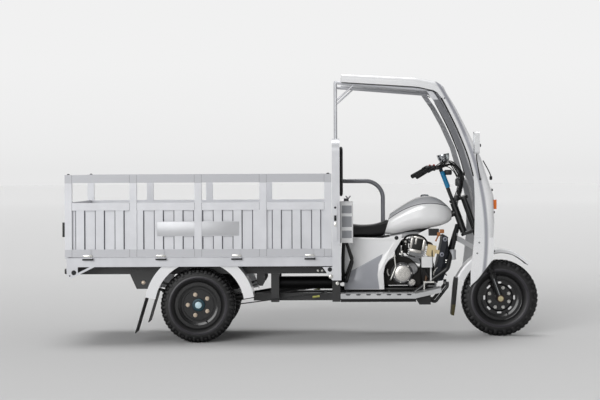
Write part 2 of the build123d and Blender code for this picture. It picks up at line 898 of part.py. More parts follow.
def rear_axle():
    """Differential, axle tubes, brake plates and the stubs the wheels turn on."""
    place = (rear_axle_x, 0, rear_axle_z)
    tube_end = plate_inner_y
    plate_end = tube_end + backing_plate_thickness
    stub_end = rear_track / 2 - rear_disc_inset + hub_cap_length
    side = differential_width / 2
    ball = differential_diameter / 2
    thick = axle_tube_diameter / 2
    thin = axle_diameter / 2
    drum = drum_diameter / 2
    corners = [(0, -stub_end), (thin, -stub_end), (thin, -plate_end), (drum, -plate_end),
               (drum, -tube_end), (thick, -tube_end), (thick, -side), (ball, -side / 3),
               (ball, side / 3), (thick, side), (thick, tube_end), (drum, tube_end),
               (drum, plate_end), (thin, plate_end), (thin, stub_end), (0, stub_end)]
    return turned(make_face(Polyline(*corners, close=True)), *place)


def leaf_springs():
    """A pack of curved leaves on each side, stepped at the ends, over the axle tube."""
    low = rear_axle_z + axle_tube_diameter / 2 + seat_gap
    base = low + spring_leaf * spring_leaf_count
    points = [spring_point(share, base) for share in (-1, -0.75, -0.5, -0.25)]
    points += [spring_point(share, base) for share in (0, 0.25, 0.5, 0.75, 1)]
    steps = []
    for number in range(1, spring_leaf_count + 1):
        end = 1 - (number - 1) / (spring_leaf_count + 1)
        following = 1 - number / (spring_leaf_count + 1)
        steps.append((end, number))
        steps.append((following, number))
    steps.pop()
    for share, number in steps:
        points.append(spring_point(share, base - spring_leaf * number))
    for share, number in reversed(steps):
        points.append(spring_point(-share, base - spring_leaf * number))
    middle = rail_spacing / 2
    leaves = side_plate(points, middle - spring_width / 2, middle + spring_width / 2)
    for share in (-1, 1):
        x, z = spring_point(share, base)
        leaves += Pos(x, middle, z) * Rot(90, 0, 0) * Cylinder(
            spring_eye_diameter / 2, spring_width)
        leaves -= Pos(x, middle, z) * Rot(90, 0, 0) * Cylinder(
            spring_pin_diameter / 2 + pin_gap, spring_width + overrun)
    clamp_x = axle_tube_diameter / 2 + seat_gap + clamp_bolt_diameter / 2
    across = (middle - spring_width / 2, middle + spring_width / 2)
    along = (rear_axle_x - clamp_plate_length / 2, rear_axle_x + clamp_plate_length / 2)
    under = rear_axle_z - axle_tube_diameter / 2 - seat_gap
    leaves += block(along, across, (base - spring_leaf, base + clamp_plate_height))
    leaves += block(along, across, (under - clamp_plate_height, under))
    for x in (rear_axle_x - clamp_x, rear_axle_x + clamp_x):
        for y in (across[0] + clamp_bolt_diameter / 2, across[1] - clamp_bolt_diameter / 2):
            leaves += round_bar((x, y, under - 2 * clamp_plate_height),
                                (x, y, base + 2 * clamp_plate_height), clamp_bolt_diameter)
    return both_sides(leaves)


def spring_point(share, base):
    """A point of a leaf's curve, at a share of its reach to the front or rear."""
    reach = spring_front_reach if share > 0 else spring_rear_reach
    return rear_axle_x + reach * share, base + spring_eye_rise * share ** 2


def propeller_shaft():
    """The shaft from the engine's output to the differential, with a joint at each end."""
    rear = rear_axle_x + differential_diameter / 2 + seat_gap
    front = crankcase_x - crankcase_length / 2 - seat_gap
    shaft = round_bar((rear + shaft_yoke_length / 2, 0, rear_axle_z),
                      (front - shaft_yoke_length / 2, 0, crankcase_z), shaft_diameter)
    shaft += round_bar((rear, 0, rear_axle_z), (rear + shaft_yoke_length, 0, rear_axle_z),
                       shaft_diameter + 2 * rim_wall)
    return shaft + round_bar((front - shaft_yoke_length, 0, crankcase_z),
                             (front, 0, crankcase_z), shaft_diameter + 2 * rim_wall)


# Engine

def engine_crankcase():
    """The crankcase with a round and a smaller cover on each side, and the oil pump."""
    half = crankcase_width / 2
    case = Pos(crankcase_x, 0, crankcase_z) * Rot(90, 0, 0) * Cylinder(
        crankcase_radius, crankcase_width)
    case += block((crankcase_x - crankcase_length / 2, crankcase_x + crankcase_length / 2),
                  (-half, half), (crankcase_floor, crankcase_z + crankcase_radius / 3))
    case -= block((crankcase_x - crankcase_length, crankcase_x + crankcase_length),
                  (-crankcase_width, crankcase_width),
                  (crankcase_z - 2 * crankcase_radius, crankcase_floor))
    cover = crank_cover(0, 0, clutch_cover_diameter, clutch_cover_depth)
    cover += crank_cover(side_cover_forward, side_cover_rise, side_cover_diameter,
                         clutch_cover_depth / 2)
    cover += crank_cover(oil_pump_forward, -oil_pump_drop, oil_pump_diameter,
                         clutch_cover_depth * 2 / 3)
    return case + both_sides(cover)


def crank_cover(forward, rise, diameter, depth):
    """A round cover with a bevelled rim on the crankcase's left face."""
    place = Pos(crankcase_x + forward, crankcase_width / 2, crankcase_z + rise) * Rot(-90, 0, 0)
    cover = place * Cylinder(diameter / 2, depth, align=(Align.CENTER, Align.CENTER, Align.MIN))
    rim = cover.faces().sort_by(Axis.Y)[-1].edges()
    return chamfer(rim, depth / 3)


def engine_cylinder():
    """The finned cylinder and its head, leaning forward."""
    barrel = Pos(0, 0, cylinder_rise / 2) * Box(barrel_width, barrel_width, cylinder_rise)
    for number in range(fin_count):
        fin = Box(cylinder_width, cylinder_width, fin_thickness)
        barrel += Pos(0, 0, fin_pitch * (number + 1)) * fin
    cover_size = barrel_width + fin_overhang
    cover = Box(cover_size, cover_size, fin_pitch * 2)
    barrel += Pos(0, 0, cylinder_rise + fin_pitch) * cover
    rear = barrel_width / 2 + intake_diameter
    barrel += round_bar((0, 0, cylinder_rise), (-rear, 0, cylinder_rise), intake_diameter)
    case = Pos(crankcase_x, 0, crankcase_z) * Rot(90, 0, 0) * Cylinder(
        crankcase_radius + seat_gap, crankcase_width + overrun)
    return cylinder_place() * barrel - case


def cylinder_place():
    """Where the leaning cylinder's foot stands on the crankcase."""
    foot = Pos(crankcase_x + cylinder_forward, 0, crankcase_z + cylinder_foot)
    return foot * Rot(0, cylinder_lean, 0)


def exhaust():
    """The pipe from the cylinder head down, back under the engine and out to the muffler."""
    out = (barrel_width + fin_overhang) / 2 + seat_gap
    start = (cylinder_place() * Pos(out, 0, cylinder_rise + fin_pitch)).position
    elbow = (cylinder_place() * Pos(out + header_diameter, 0, cylinder_rise + fin_pitch)).position
    side = -rail_spacing / 2 + rail_width / 2 + joint_gap + muffler_diameter / 2
    low = (lower_rail_bottom + lower_rail_height + crankcase_floor) / 2
    muffler_z = lower_rail_bottom + lower_rail_height + header_diameter + muffler_diameter / 2
    turn_x = panel_rear_x - header_diameter / 2 - joint_gap
    pipe = tube([(start.X, 0, start.Z), (elbow.X, 0, elbow.Z), (header_x, -header_side, low),
                 (turn_x, -header_side, low), (bed_front_x, side, muffler_z)],
                header_diameter, header_diameter / 2)
    return pipe + round_bar((bed_front_x, side, muffler_z),
                            (bed_front_x - muffler_length, side, muffler_z), muffler_diameter)


def radiator():
    """The radiator between the down tubes, with a tank above and below."""
    width = lower_rail_spacing - down_tube_diameter - 2 * seat_gap
    core = Box(radiator_depth - rim_wall, width, radiator_height - 2 * radiator_tank)
    for side in (-1, 1):
        middle = side * (radiator_height / 2 - radiator_tank / 2)
        core += Pos(0, 0, middle) * Box(radiator_depth, width, radiator_tank)
    return Pos(radiator_x, 0, radiator_z) * Rot(0, radiator_tilt, 0) * core


def coolant_bottle():
    """The expansion bottle beside the engine, on a strap from the right down tube."""
    side = -lower_rail_spacing / 2 - down_tube_diameter / 2 - seat_gap
    front = bottle_x + bottle_length
    bottle = block((bottle_x, front), (side - bottle_width, side),
                   (bottle_foot, bottle_foot + bottle_height))
    bottle = fillet(bottle.edges().filter_by(Axis.Z), bottle_corner)
    low_top = lower_rail_bottom + lower_rail_height
    return bottle + block((front - 2 * bottle_corner, front - bottle_corner / 2),
                          (side - bottle_strap, side),
                          (low_top + frame_bend, bottle_foot + bottle_height / 2))


# Tank, seat and panels

tank_corner_share = 0.4
# Shares of the tank's length, of its height for the middle, of its width and its height
tank_shares = [(0.0, 0.2, 0.6, 0.38), (0.17, 0.32, 0.78, 0.62), (0.4, 0.49, 0.95, 0.78),
               (0.7, 0.58, 1.0, 0.82), (0.85, 0.55, 0.85, 0.65), (1.0, 0.5, 0.4, 0.25)]
seat_corner_share = 0.3
# Shares of the seat's length, of its height for the middle, of its width and its height
seat_shares = [(0.0, 0.36, 1.0, 0.72), (0.3, 0.3, 0.98, 0.6), (0.7, 0.32, 0.75, 0.64),
               (1.0, 0.54, 0.5, 0.88)]
# Shares of the side panel's length and height
panel_shares = [(0.02, 0.957), (0.67, 0.935), (1.0, 1.0), (0.984, 0.897), (0.874, 0.707),
                (0.718, 0.513), (0.676, 0.288), (0.69, 0.0), (0.01, 0.002)]


def fuel_tank():
    """The pressed steel tank over the engine, hollowed below for the backbone."""
    stations = []
    for along, up, wide, tall in tank_shares:
        stations.append((tank_rear_x + tank_length * along, tank_bottom + tank_height * up,
                         tank_width * wide, tank_height * tall))
    return body_loft(stations, tank_corner_share) - backbone(backbone_diameter + 2 * seat_gap) - nose_wedge(-1)


def nose_wedge(side):
    """Space before or behind the slanted joint of the tank and the seat's nose."""
    lean_share = 0.3
    low_x = tank_rear_x - side * seat_gap / 2
    high_x = low_x + tank_height * lean_share
    far = low_x + side * tank_length
    return side_plate([(low_x, tank_bottom), (high_x, tank_bottom + tank_height),
                       (far, tank_bottom + tank_height), (far, tank_bottom - overrun),
                       (low_x, tank_bottom - overrun)], -tank_width, tank_width)


def seat():
    """The rider's seat with its raised nose."""
    stations = []
    for along, up, wide, tall in seat_shares:
        stations.append((seat_rear_x + seat_length * along, seat_bottom + seat_height * up,
                         seat_width * wide, seat_height * tall))
    below = block((seat_rear_x - overrun, seat_rear_x + seat_length + overrun),
                  (-seat_width, seat_width), (seat_bottom - seat_height, seat_bottom + seat_gap))
    return body_loft(stations, seat_corner_share) - below - nose_wedge(1)


def side_panels():
    """Moulded panels under the seat on both sides."""
    outline = scaled_outline(panel_shares, panel_rear_x, panel_length, panel_bottom, panel_rise)
    outer = side_panel_spacing / 2
    return both_sides(side_plate(outline, outer - side_panel_sheet, outer))


def footboards():
    """Tread plates for the feet on both sides, with a rail below and arms to the frame."""
    top = footboard_bottom + footboard_thickness
    points = [(footboard_rear_x, footboard_bottom), (footboard_front_x, footboard_bottom),
              (footboard_nose_x, footboard_bottom + footboard_rise),
              (footboard_nose_x, top + footboard_rise), (footboard_front_x, top),
              (footboard_rear_x, top)]
    inner = footboard_inner_spacing / 2
    outer = inner + footboard_width
    board = side_plate(points, inner, outer)
    low = footboard_bottom - footrail_height
    board += block((footboard_rear_x, footboard_front_x), (outer - footrail_width, outer),
                   (low, footboard_bottom))
    arm_reach = lower_rail_spacing / 2 + rail_width / 2 + seat_gap
    for x in (footboard_rear_x + rail_width, footboard_front_x - rail_width):
        board += block((x - footrail_width, x), (arm_reach, outer), (low, footboard_bottom))
    return both_sides(board)


def electrics():
    """The ignition unit on the radiator's top edge, and the coil on the radiator's back."""
    tilt = math.radians(radiator_tilt)
    half = radiator_height / 2
    depth = radiator_depth / 2
    edge_x = radiator_x + half * math.sin(tilt) - depth * math.cos(tilt)
    edge_z = radiator_z + half * math.cos(tilt) + depth * math.sin(tilt) + seat_gap
    rear = unit_box_x - unit_box_length / 2
    across = (-unit_box_width / 2, unit_box_width / 2)
    unit = block((rear, edge_x + joint_gap), across, (edge_z, edge_z + unit_bracket_wall))
    unit += block((rear, rear + unit_box_length), across, (edge_z, edge_z + unit_box_height))
    back = (radiator_depth - rim_wall) / 2 + seat_gap
    coil_x = -back - coil_bracket - coil_length / 2
    coil = Pos(coil_x, 0, coil_rise) * Box(coil_length, coil_width, coil_height)
    coil = fillet(coil.edges().filter_by(Axis.Y), bottle_corner)
    coil += Pos((coil_x - back) / 2, 0, coil_rise) * Box(
        -coil_x - back, coil_width / 2, coil_height / 3)
    place = Pos(radiator_x, 0, radiator_z) * Rot(0, radiator_tilt, 0)
    return unit + place * Pos(0, -coil_spacing / 2, 0) * coil


def foot_controls():
    """The kick lever on the crankcase and the brake pedal, both on the right."""
    face = -crankcase_width / 2 - seat_gap
    clear = face - clutch_cover_depth - joint_gap - kick_lever_diameter / 2
    kick = tube([(kick_shaft_x, face, kick_shaft_z), (kick_shaft_x, clear, kick_shaft_z),
                 (kick_knee_x, clear, kick_knee_z), (kick_end_x, clear, kick_end_z),
                 (kick_end_x, clear - kick_pedal_length, kick_end_z)],
                kick_lever_diameter, kick_lever_diameter)
    inner = -footboard_inner_spacing / 2 - footboard_width / 4
    slope = footboard_rise / (footboard_nose_x - footboard_front_x)
    foot = (footboard_bottom + footboard_thickness + seat_gap
            + slope * (pedal_x + kick_lever_diameter - footboard_front_x))
    arm = round_bar((pedal_x + kick_lever_diameter / 2, inner, foot),
                    (pedal_x + kick_lever_diameter / 2, inner, pedal_z), kick_lever_diameter)
    pad = block((pedal_x, pedal_x + pedal_length), (inner - pedal_width / 2, inner + pedal_width / 2),
                (pedal_z, pedal_z + pedal_thickness))
    return kick + arm + pad


def brake_rods():
    """On each side, a rod from a clevis on the front post to the brake plate's lever."""
    plate_y = plate_inner_y - seat_gap
    lever_y = plate_y - disc_thickness
    x = rear_axle_x + brake_lever_forward
    half = brake_lever_width / 2
    arm = block((x - half, x + half), (lever_y - brake_rod_diameter, plate_y),
                (brake_rod_rear_z - half, brake_rod_rear_z + brake_lever_length))
    post_y = rail_spacing / 2 + rail_width / 2 + seat_gap
    post_x = bed_front_x - hanger_width + half
    clevis = block((post_x - half, post_x + half), (post_y, post_y + brake_lever_width / 2),
                   (brake_rod_front_z - half, brake_rod_front_z + half))
    rod = round_bar((x, lever_y - brake_rod_diameter / 2, brake_rod_rear_z),
                    (post_x, post_y + half / 2, brake_rod_front_z), brake_rod_diameter)
    return both_sides(arm + rod + clevis)


def reservoir():
    """The ribbed coolant box on the headboard's front, with its hoses to the side panel."""
    x = headboard_front_x + seat_gap
    low = -reservoir_spacing + reservoir_width / 4
    top = reservoir_bottom + reservoir_height
    box = block((x, x + reservoir_length), (low, low + reservoir_width), (reservoir_bottom, top))
    box = fillet(box.edges().filter_by(Axis.Z), reservoir_corner)
    pitch = (reservoir_height - reservoir_panel_inset) / reservoir_panel_count
    for number in range(reservoir_panel_count):
        foot = reservoir_bottom + reservoir_panel_inset + pitch * number
        box -= block((x + 2 * reservoir_panel_inset, x + reservoir_length - reservoir_panel_inset),
                     (low - overrun, low + reservoir_panel_depth),
                     (foot, foot + pitch - reservoir_panel_inset))
    middle = x + reservoir_length / 2
    box += Pos(middle, low + reservoir_width / 3, top + reservoir_cap_height / 2) * Cylinder(
        reservoir_cap_diameter / 2, reservoir_cap_height)
    panel_y = -side_panel_spacing / 2 - seat_gap
    for share, drop_share in zip(hose_side_shares, hose_drop_shares):
        y = low + reservoir_width * share
        foot_z = reservoir_bottom - reservoir_height * drop_share
        bow = (middle + 2 * hose_diameter, y, (reservoir_bottom + foot_z) / 2)
        box += tube([(middle, y, reservoir_bottom), bow, (middle, y, foot_z),
                     (middle, panel_y, foot_z)], hose_diameter, hose_diameter)
    return box


def grab_rail():
    """The guard hoop beside the seat, on the left, standing on the footboard."""
    x = headboard_front_x + seat_gap
    foot = footboard_bottom + footboard_thickness + seat_gap
    return tube([(x, grab_rail_y, grab_rail_top), (grab_rail_reach, grab_rail_y, grab_rail_top),
                 (grab_rail_reach, grab_rail_y, foot)], grab_rail_diameter, grab_rail_bend)


# Load bed

def hinge_places(start, length):
    """Where the hinges stand along a side."""
    return [start + length * share for share in hinge_place_shares]


def bed_floor():
    """The floor frame with its sheet, cross members and hinge lugs."""
    half = bed_width / 2
    top = bed_frame_bottom + bed_frame_height
    wall = bed_frame_wall
    rear, front = bed_frame_rear_x, bed_front_x
    piece = block((rear, front), (-half, half), (bed_frame_bottom, top))
    piece -= block((rear + wall, front - wall), (wall - half, half - wall),
                   (bed_frame_bottom - overrun, top + overrun))
    middle = rear_axle_x + overrun
    reach = guard_reach() - cross_member_width / 2
    places = ((rear + middle - reach) / 2, middle - reach, middle, middle + reach,
              (front + middle + reach) / 2)
    for x in places:
        piece += block((x - cross_member_width / 2, x + cross_member_width / 2),
                       (wall - half, half - wall), (bed_frame_bottom, top))
    piece += block((rear, front), (-half, half), (top, top + floor_sheet))
    for x in hinge_places(bed_rear_x, bed_length):
        piece += both_sides(hinge_seat(x))
    for y in tail_hinge_places():
        piece += Pos(0, y, 0) * tail_turn * hinge_seat(0)
    return piece + both_sides(corner_bracket(rear))


def corner_bracket(rear):
    """The left plate and its slanted brace under the bed's rear corner."""
    top = bed_frame_bottom + corner_bracket_wall
    low = bed_frame_bottom - corner_bracket_drop
    front = rear + brace_depth + corner_bracket_length
    slope = corner_bracket_drop / corner_bracket_length
    edge = rear + corner_plate_width
    inner = front - brace_width / slope
    gap_low = bed_frame_bottom - (inner - edge) * slope
    outline = [(rear, top), (rear, low + brace_depth), (rear + brace_depth, low),
               (front, bed_frame_bottom), (front, top)]
    gap = [(edge, bed_frame_bottom), (edge, gap_low), (inner, bed_frame_bottom)]
    outer = bed_width / 2
    plate = side_plate(outline, outer - corner_bracket_wall, outer)
    return plate - side_plate(gap, outer - overrun, outer + overrun)


def tail_hinge_places():
    """Where the tailgate's hinges stand across the bed."""
    return [bed_width * share for share in tail_hinge_shares]


# Turns a hinge of the left side to the rear end
tail_turn = Rot(0, 0, 90) * Pos(0, -tail_x - gate_y, 0)


def hinge_seat(x):
    """Two lugs and a pin at one hinge of the left side."""
    face = bed_width / 2
    half = hinge_leaf_width / 2 + pin_gap
    lugs = None
    for side in (-1, 1):
        near = x + side * half
        far = near + side * hinge_lug_width
        lug = block((near, far), (face - joint_gap, gate_y),
                    (hinge_z - hinge_radius, hinge_z + hinge_radius))
        lug += Pos((near + far) / 2, gate_y, hinge_z) * Rot(0, 90, 0) * Cylinder(
            hinge_radius, hinge_lug_width)
        lugs = lug if lugs is None else lugs + lug
    pin = Pos(x, gate_y, hinge_z) * Rot(0, 90, 0) * Cylinder(
        hinge_pin_diameter / 2, 2 * half + hinge_lug_width)
    return lugs + pin


def hinge_leaf(x):
    """The knuckle and leaf that a left gate carries at one hinge."""
    knuckle = Pos(x, gate_y, hinge_z) * Rot(0, 90, 0) * Cylinder(hinge_radius, hinge_leaf_width)
    leaf = block((x - hinge_leaf_width / 2, x + hinge_leaf_width / 2),
                 (gate_y, gate_y + hinge_leaf_thickness),
                 (hinge_z, hinge_z + hinge_leaf_height))
    bore = Pos(x, gate_y, hinge_z) * Rot(0, 90, 0) * Cylinder(
        hinge_pin_diameter / 2 + pin_gap, hinge_leaf_width + overrun)
    return knuckle + leaf - bore


def ribbed_sheet(start, length, outer_y, low, high):
    """A sheet with pressed upright ribs, seen from above as a row of steps."""
    count = int((length + rib_pitch - rib_width) // rib_pitch)
    margin = (length - (count - 1) * rib_pitch - rib_width) / 2
    front = [(start, outer_y - rib_depth)]
    for number in range(count):
        x = start + margin + number * rib_pitch
        front.append((x, outer_y - rib_depth))
        front.append((x + rib_slope, outer_y))
        front.append((x + rib_width - rib_slope, outer_y))
        front.append((x + rib_width, outer_y - rib_depth))
    front.append((start + length, outer_y - rib_depth))
    back = [(x, y - panel_sheet) for x, y in reversed(front)]
    face = make_face(Polyline(*front, *back, close=True))
    return Pos(0, 0, low) * extrude(face, high - low)


def side_gate(sign):
    """A full height side gate, drawn on the left and mirrored for the right."""
    start = bed_rear_x
    end = headboard_x - joint_gap
    inner = gate_y - gate_thickness
    across = (inner, gate_y)
    panel_low = gate_bottom + bottom_rail_height
    panel_high = panel_low + panel_height
    mid_high = panel_high + mid_rail_height
    top = gate_bottom + gate_height
    gate = block((start, end), across, (gate_bottom, panel_low))
    gate += block((start, end), across, (panel_high, mid_high))
    gate += block((start, end), across, (top - top_rail_height, top))
    pitch = (end - start - post_width) / (post_count - 1)
    for number in range(post_count):
        x = start + pitch * number
        gate += block((x, x + post_width), across, (gate_bottom, top))
    gate += ribbed_sheet(start + post_width, end - start - 2 * post_width,
                         gate_y - rib_slope, panel_low, panel_high)
    middle = (start + end) / 2
    gate += block((middle - plate_length / 2, middle + plate_length / 2),
                  (gate_y - rib_slope, gate_y - rib_slope + plate_sheet),
                  (panel_low + plate_lift, panel_low + plate_lift + plate_height))
    for x in hinge_places(bed_rear_x, bed_length):
        gate += hinge_leaf(x)
    return gate if sign > 0 else mirror(gate, about=Plane.XZ)


def tailgate():
    """The low board across the bed's rear end."""
    half = gate_y - gate_thickness - joint_gap
    across = (tail_x, tail_x + tailgate_thickness)
    low = gate_bottom
    top = gate_bottom + tailgate_height
    board = block(across, (-half, half), (low, low + bottom_rail_height))
    board += block(across, (-half, half), (top - mid_rail_height, top))
    for y in (-half, -post_width / 2, half - post_width):
        board += block(across, (y, y + post_width), (low, top))
    sheet = ribbed_sheet(-half, 2 * half, 0, low, top)
    board += Pos(tail_x + rib_slope, 0, 0) * Rot(0, 0, 90) * sheet
    for y in tail_hinge_places():
        board += Pos(0, y, 0) * tail_turn * hinge_leaf(0)
    for side in (-1, 1):
        y = side * (half - latch_inset)
        z = (low + top) / 2
        board += block((tail_x - latch_reach, tail_x), (y - latch_width / 2, y + latch_width / 2),
                       (z - latch_length / 2, z + latch_length / 2))
    return board


def headboard():
    """The frame behind the rider, with its sheet, bars and lower side plates."""
    half = bed_width / 2 + gate_thickness / 3
    reach = half - headboard_tube
    board = headboard_panel(half, headboard_bottom, headboard_top, headboard_corner)
    hole = headboard_panel(reach, headboard_bottom + headboard_tube, headboard_top - headboard_tube,
                           headboard_corner - headboard_tube)
    board = extrude(board - hole, headboard_depth)
    sheet = headboard_panel(half, headboard_bottom, headboard_top, headboard_corner)
    board += Pos(headboard_depth / 2, 0, 0) * extrude(sheet, headboard_sheet)
    tall = headboard_top - headboard_bottom
    for number in range(headboard_bar_count):
        z = headboard_bottom + tall * (number + 1) / (headboard_bar_count + 1)
        board += block((headboard_x, headboard_front_x), (-reach, reach),
                       (z - headboard_tube / 2, z + headboard_tube / 2))
    heel_z = side_plate_bottom + side_plate_heel
    corners = [(headboard_x, side_plate_bottom),
               (headboard_x + side_plate_depth, side_plate_bottom),
               (headboard_x + side_plate_depth, side_plate_top), (headboard_x, side_plate_top),
               (headboard_x, heel_z), (headboard_x - side_plate_heel_reach, heel_z)]
    plate = side_plate(corners, half, half + side_plate_width)
    latch_x = headboard_x + gate_latch_width / 3
    plate += block((latch_x, latch_x + gate_latch_width), (half, half + gate_latch_depth),
                   (gate_latch_top - gate_latch_height, gate_latch_top))
    return board + both_sides(plate)


def headboard_panel(half, low, high, corner):
    """An upright face at the headboard's rear, with its two top corners rounded."""
    plane = Plane(origin=(headboard_x, 0, 0), x_dir=(0, 1, 0), z_dir=(1, 0, 0))
    face = make_face(Polyline((-half, low), (half, low), (half, high), (-half, high), close=True))
    tops = face.vertices().sort_by(Axis.Y)[2:]
    return plane * fillet(tops, corner)


def backrest_pad():
    """The rider's back pad on the headboard."""
    middle = (backrest_bottom + backrest_top) / 2
    plane = Plane(origin=(headboard_front_x + seat_gap, 0, middle), x_dir=(0, 1, 0),
                  z_dir=(1, 0, 0))
    outline = RectangleRounded(backrest_width, backrest_top - backrest_bottom, backrest_corner)
    return extrude(plane * outline, backrest_thickness)


# Rear guards and lamps

def guard_reach():
    """How far along a guard's top end stands from its wheel's middle."""
    rise = bed_frame_bottom - rear_axle_z
    return math.sqrt(rear_guard_radius ** 2 - rise ** 2)


def rear_mudguards():
    """Curved sheets before and behind each rear wheel, under the bed."""
    x = rear_axle_x + overrun
    outer_y = guard_outer_y
    inner_y = guard_inner_y
    place = (x, 0, rear_axle_z)
    ring = turned_ring(rear_guard_radius - rear_guard_wall, rear_guard_radius, inner_y, outer_y,
                       *place)
    ring += turned_ring(rear_guard_radius - rear_guard_lip, rear_guard_radius,
                        outer_y - rear_guard_wall, outer_y, *place)
    turn = math.radians(rear_guard_low_angle)
    across = 2 * rear_guard_radius * math.cos(turn)
    low = rear_axle_z + 2 * rear_guard_radius * math.sin(turn)
    top = bed_frame_bottom - seat_gap
    keep = side_plate([(x, rear_axle_z), (x + across, low), (x + across, top), (x - across, top),
                       (x - across, low)], inner_y - overrun, outer_y + overrun)
    return both_sides(ring & keep)


def rear_mud_flaps():
    """Rubber flaps behind the rear wheels."""
    turn = math.radians(rear_guard_low_angle)
    x = rear_axle_x + overrun - rear_guard_radius * math.cos(turn)
    top = rear_axle_z + rear_guard_radius * math.sin(turn) - rear_guard_wall / 2
    low = top - flap_length
    lean_share = 0.3
    points = [(x, top), (x + flap_thickness, top),
              (x + flap_thickness - flap_length * lean_share, low),
              (x - flap_length * lean_share, low)]
    return both_sides(side_plate(points, guard_inner_y, guard_outer_y))


def tail_lamps():
    """A lamp under each rear corner of the bed."""
    inner = rail_spacing / 2 + rail_width
    z = bed_frame_bottom - seat_gap
    return both_sides(block((bed_frame_rear_x, bed_frame_rear_x + tail_lamp_depth),
                            (inner, inner + tail_lamp_width), (z - tail_lamp_height, z)))


# Canopy

# Shares of the canopy's length and rise for the outer and then the inner edge,
# from the roof's rear end round to the shield's joint
canopy_shares = [(0.0, 1.0, 0.0, 0.946), (0.483, 0.976, 0.483, 0.916),
                 (0.622, 0.95, 0.6, 0.898), (0.668, 0.923, 0.628, 0.883),
                 (0.691, 0.879, 0.654, 0.852), (0.755, 0.782, 0.705, 0.76),
                 (0.853, 0.6, 0.787, 0.593), (0.913, 0.486, 0.838, 0.468),
                 (0.961, 0.346, 0.864, 0.355), (0.992, 0.259, 0.869, 0.253),
                 (1.0, 0.099, 0.869, 0.099), (0.994, 0.0, 0.865, 0.0)]
# The rows at the windscreen
screen_shares = canopy_shares[4:9]
# The screen opening's depth as a share of a section's
screen_cut_share = 0.5
whole_share = 1
# Shares for the rear edge of the band inside a pillar, from the roof down to the stay
band_shares = [(0.56, 0.89), (0.62, 0.81), (0.688, 0.694), (0.755, 0.555), (0.803, 0.4),
               (0.845, 0.3), (0.868, 0.2), (0.868, 0.0)]
# Shares of the canopy's length and of the shield's drop, down one leg and back up
shield_shares = [(0.994, 0.0), (0.996, 0.229), (0.985, 0.477), (0.889, 0.872), (0.84, 1.0),
                 (0.841, 0.659), (0.849, 0.466), (0.86, 0.172), (0.865, 0.0)]


def canopy_point(along, up):
    """A side view point of the canopy from its shares."""
    return canopy_rear_x + canopy_length * along, canopy_bottom + canopy_rise * up


def canopy_section(row, width, wall, depth_share):
    """A channel section across the canopy, standing on the outer edge."""
    outer = Vector(*canopy_point(row[0], row[1]))
    inner = Vector(*canopy_point(row[2], row[3]))
    inward = (inner - outer).normalized()
    depth = (inner - outer).length * depth_share
    plane = Plane(origin=(outer.X, 0, outer.Y), x_dir=(0, 1, 0),
                  z_dir=Vector(0, 1, 0).cross(Vector(inward.X, 0, inward.Y)))
    half = width / 2
    corner = min(canopy_corner, depth / 2)
    inset = corner - wall
    if wall > 0:
        edges = channel_edges(half, corner, depth, wall, inset)
    else:
        edges = Polyline((-half, 0), (half, 0), (half, depth), (-half, depth), close=True)
    return plane * make_face(edges)


def channel_edges(half, corner, depth, wall, inset):
    """The outline of a channel with rounded corners, open on its inner side."""
    bend = corner * (1 - math.sqrt(0.5))
    inner_bend = wall + inset * (1 - math.sqrt(0.5))
    near = half - wall
    return [Line((-half, depth), (-half, corner)),
            ThreePointArc((-half, corner), (bend - half, bend), (corner - half, 0)),
            Line((corner - half, 0), (half - corner, 0)),
            ThreePointArc((half - corner, 0), (half - bend, bend), (half, corner)),
            Line((half, corner), (half, depth)),
            Line((half, depth), (near, depth)),
            Line((near, depth), (near, corner)),
            ThreePointArc((near, corner), (half - inner_bend, inner_bend), (half - corner, wall)),
            Line((half - corner, wall), (corner - half, wall)),
            ThreePointArc((corner - half, wall), (inner_bend - half, inner_bend),
                          (-near, corner)),
            Line((-near, corner), (-near, depth)),
            Line((-near, depth), (-half, depth))]


def canopy_shell():
    """The roof, pillars and cowl as one moulded shell."""
    sections = [canopy_section(row, canopy_width, canopy_wall, whole_share) for row in canopy_shares]
    shell = loft(sections, ruled=True)
    rows = screen_shares
    opening = [canopy_section(row, screen_width, 0, screen_cut_share)
               for row in rows]
    return shell - loft(opening, ruled=True) - lamp_bodies(seat_gap, canopy_corner)


def windscreen():
    """The clear pane in the shell's front opening."""
    rows = screen_shares
    width = screen_width - 2 * seat_gap
    pane = []
    for row in rows:
        outer = Vector(*canopy_point(row[0], row[1]))
        inner = Vector(*canopy_point(row[2], row[3]))
        share = screen_thickness / (inner - outer).length
        pane.append(canopy_section(row, width, 0, share))
    return loft(pane, ruled=True)


def lower_shield():
    """Both legs of the shield below the cowl."""
    points = []
    for along, down in shield_shares:
        points.append((canopy_rear_x + canopy_length * along,
                       canopy_bottom - seat_gap - shield_drop * down))
    outer = canopy_width / 2
    leg = side_plate(points, outer - leg_width, outer)
    inside = [(x - canopy_wall, z) for x, z in points[:5]]
    inside += [(x - overrun, z) for x, z in points[5:]]
    inside[0] = (inside[0][0], inside[0][1] + overrun)
    inside[-1] = (inside[-1][0], inside[-1][1] + overrun)
    leg -= side_plate(inside, outer - leg_width - overrun, outer - canopy_wall)
    return both_sides(leg)


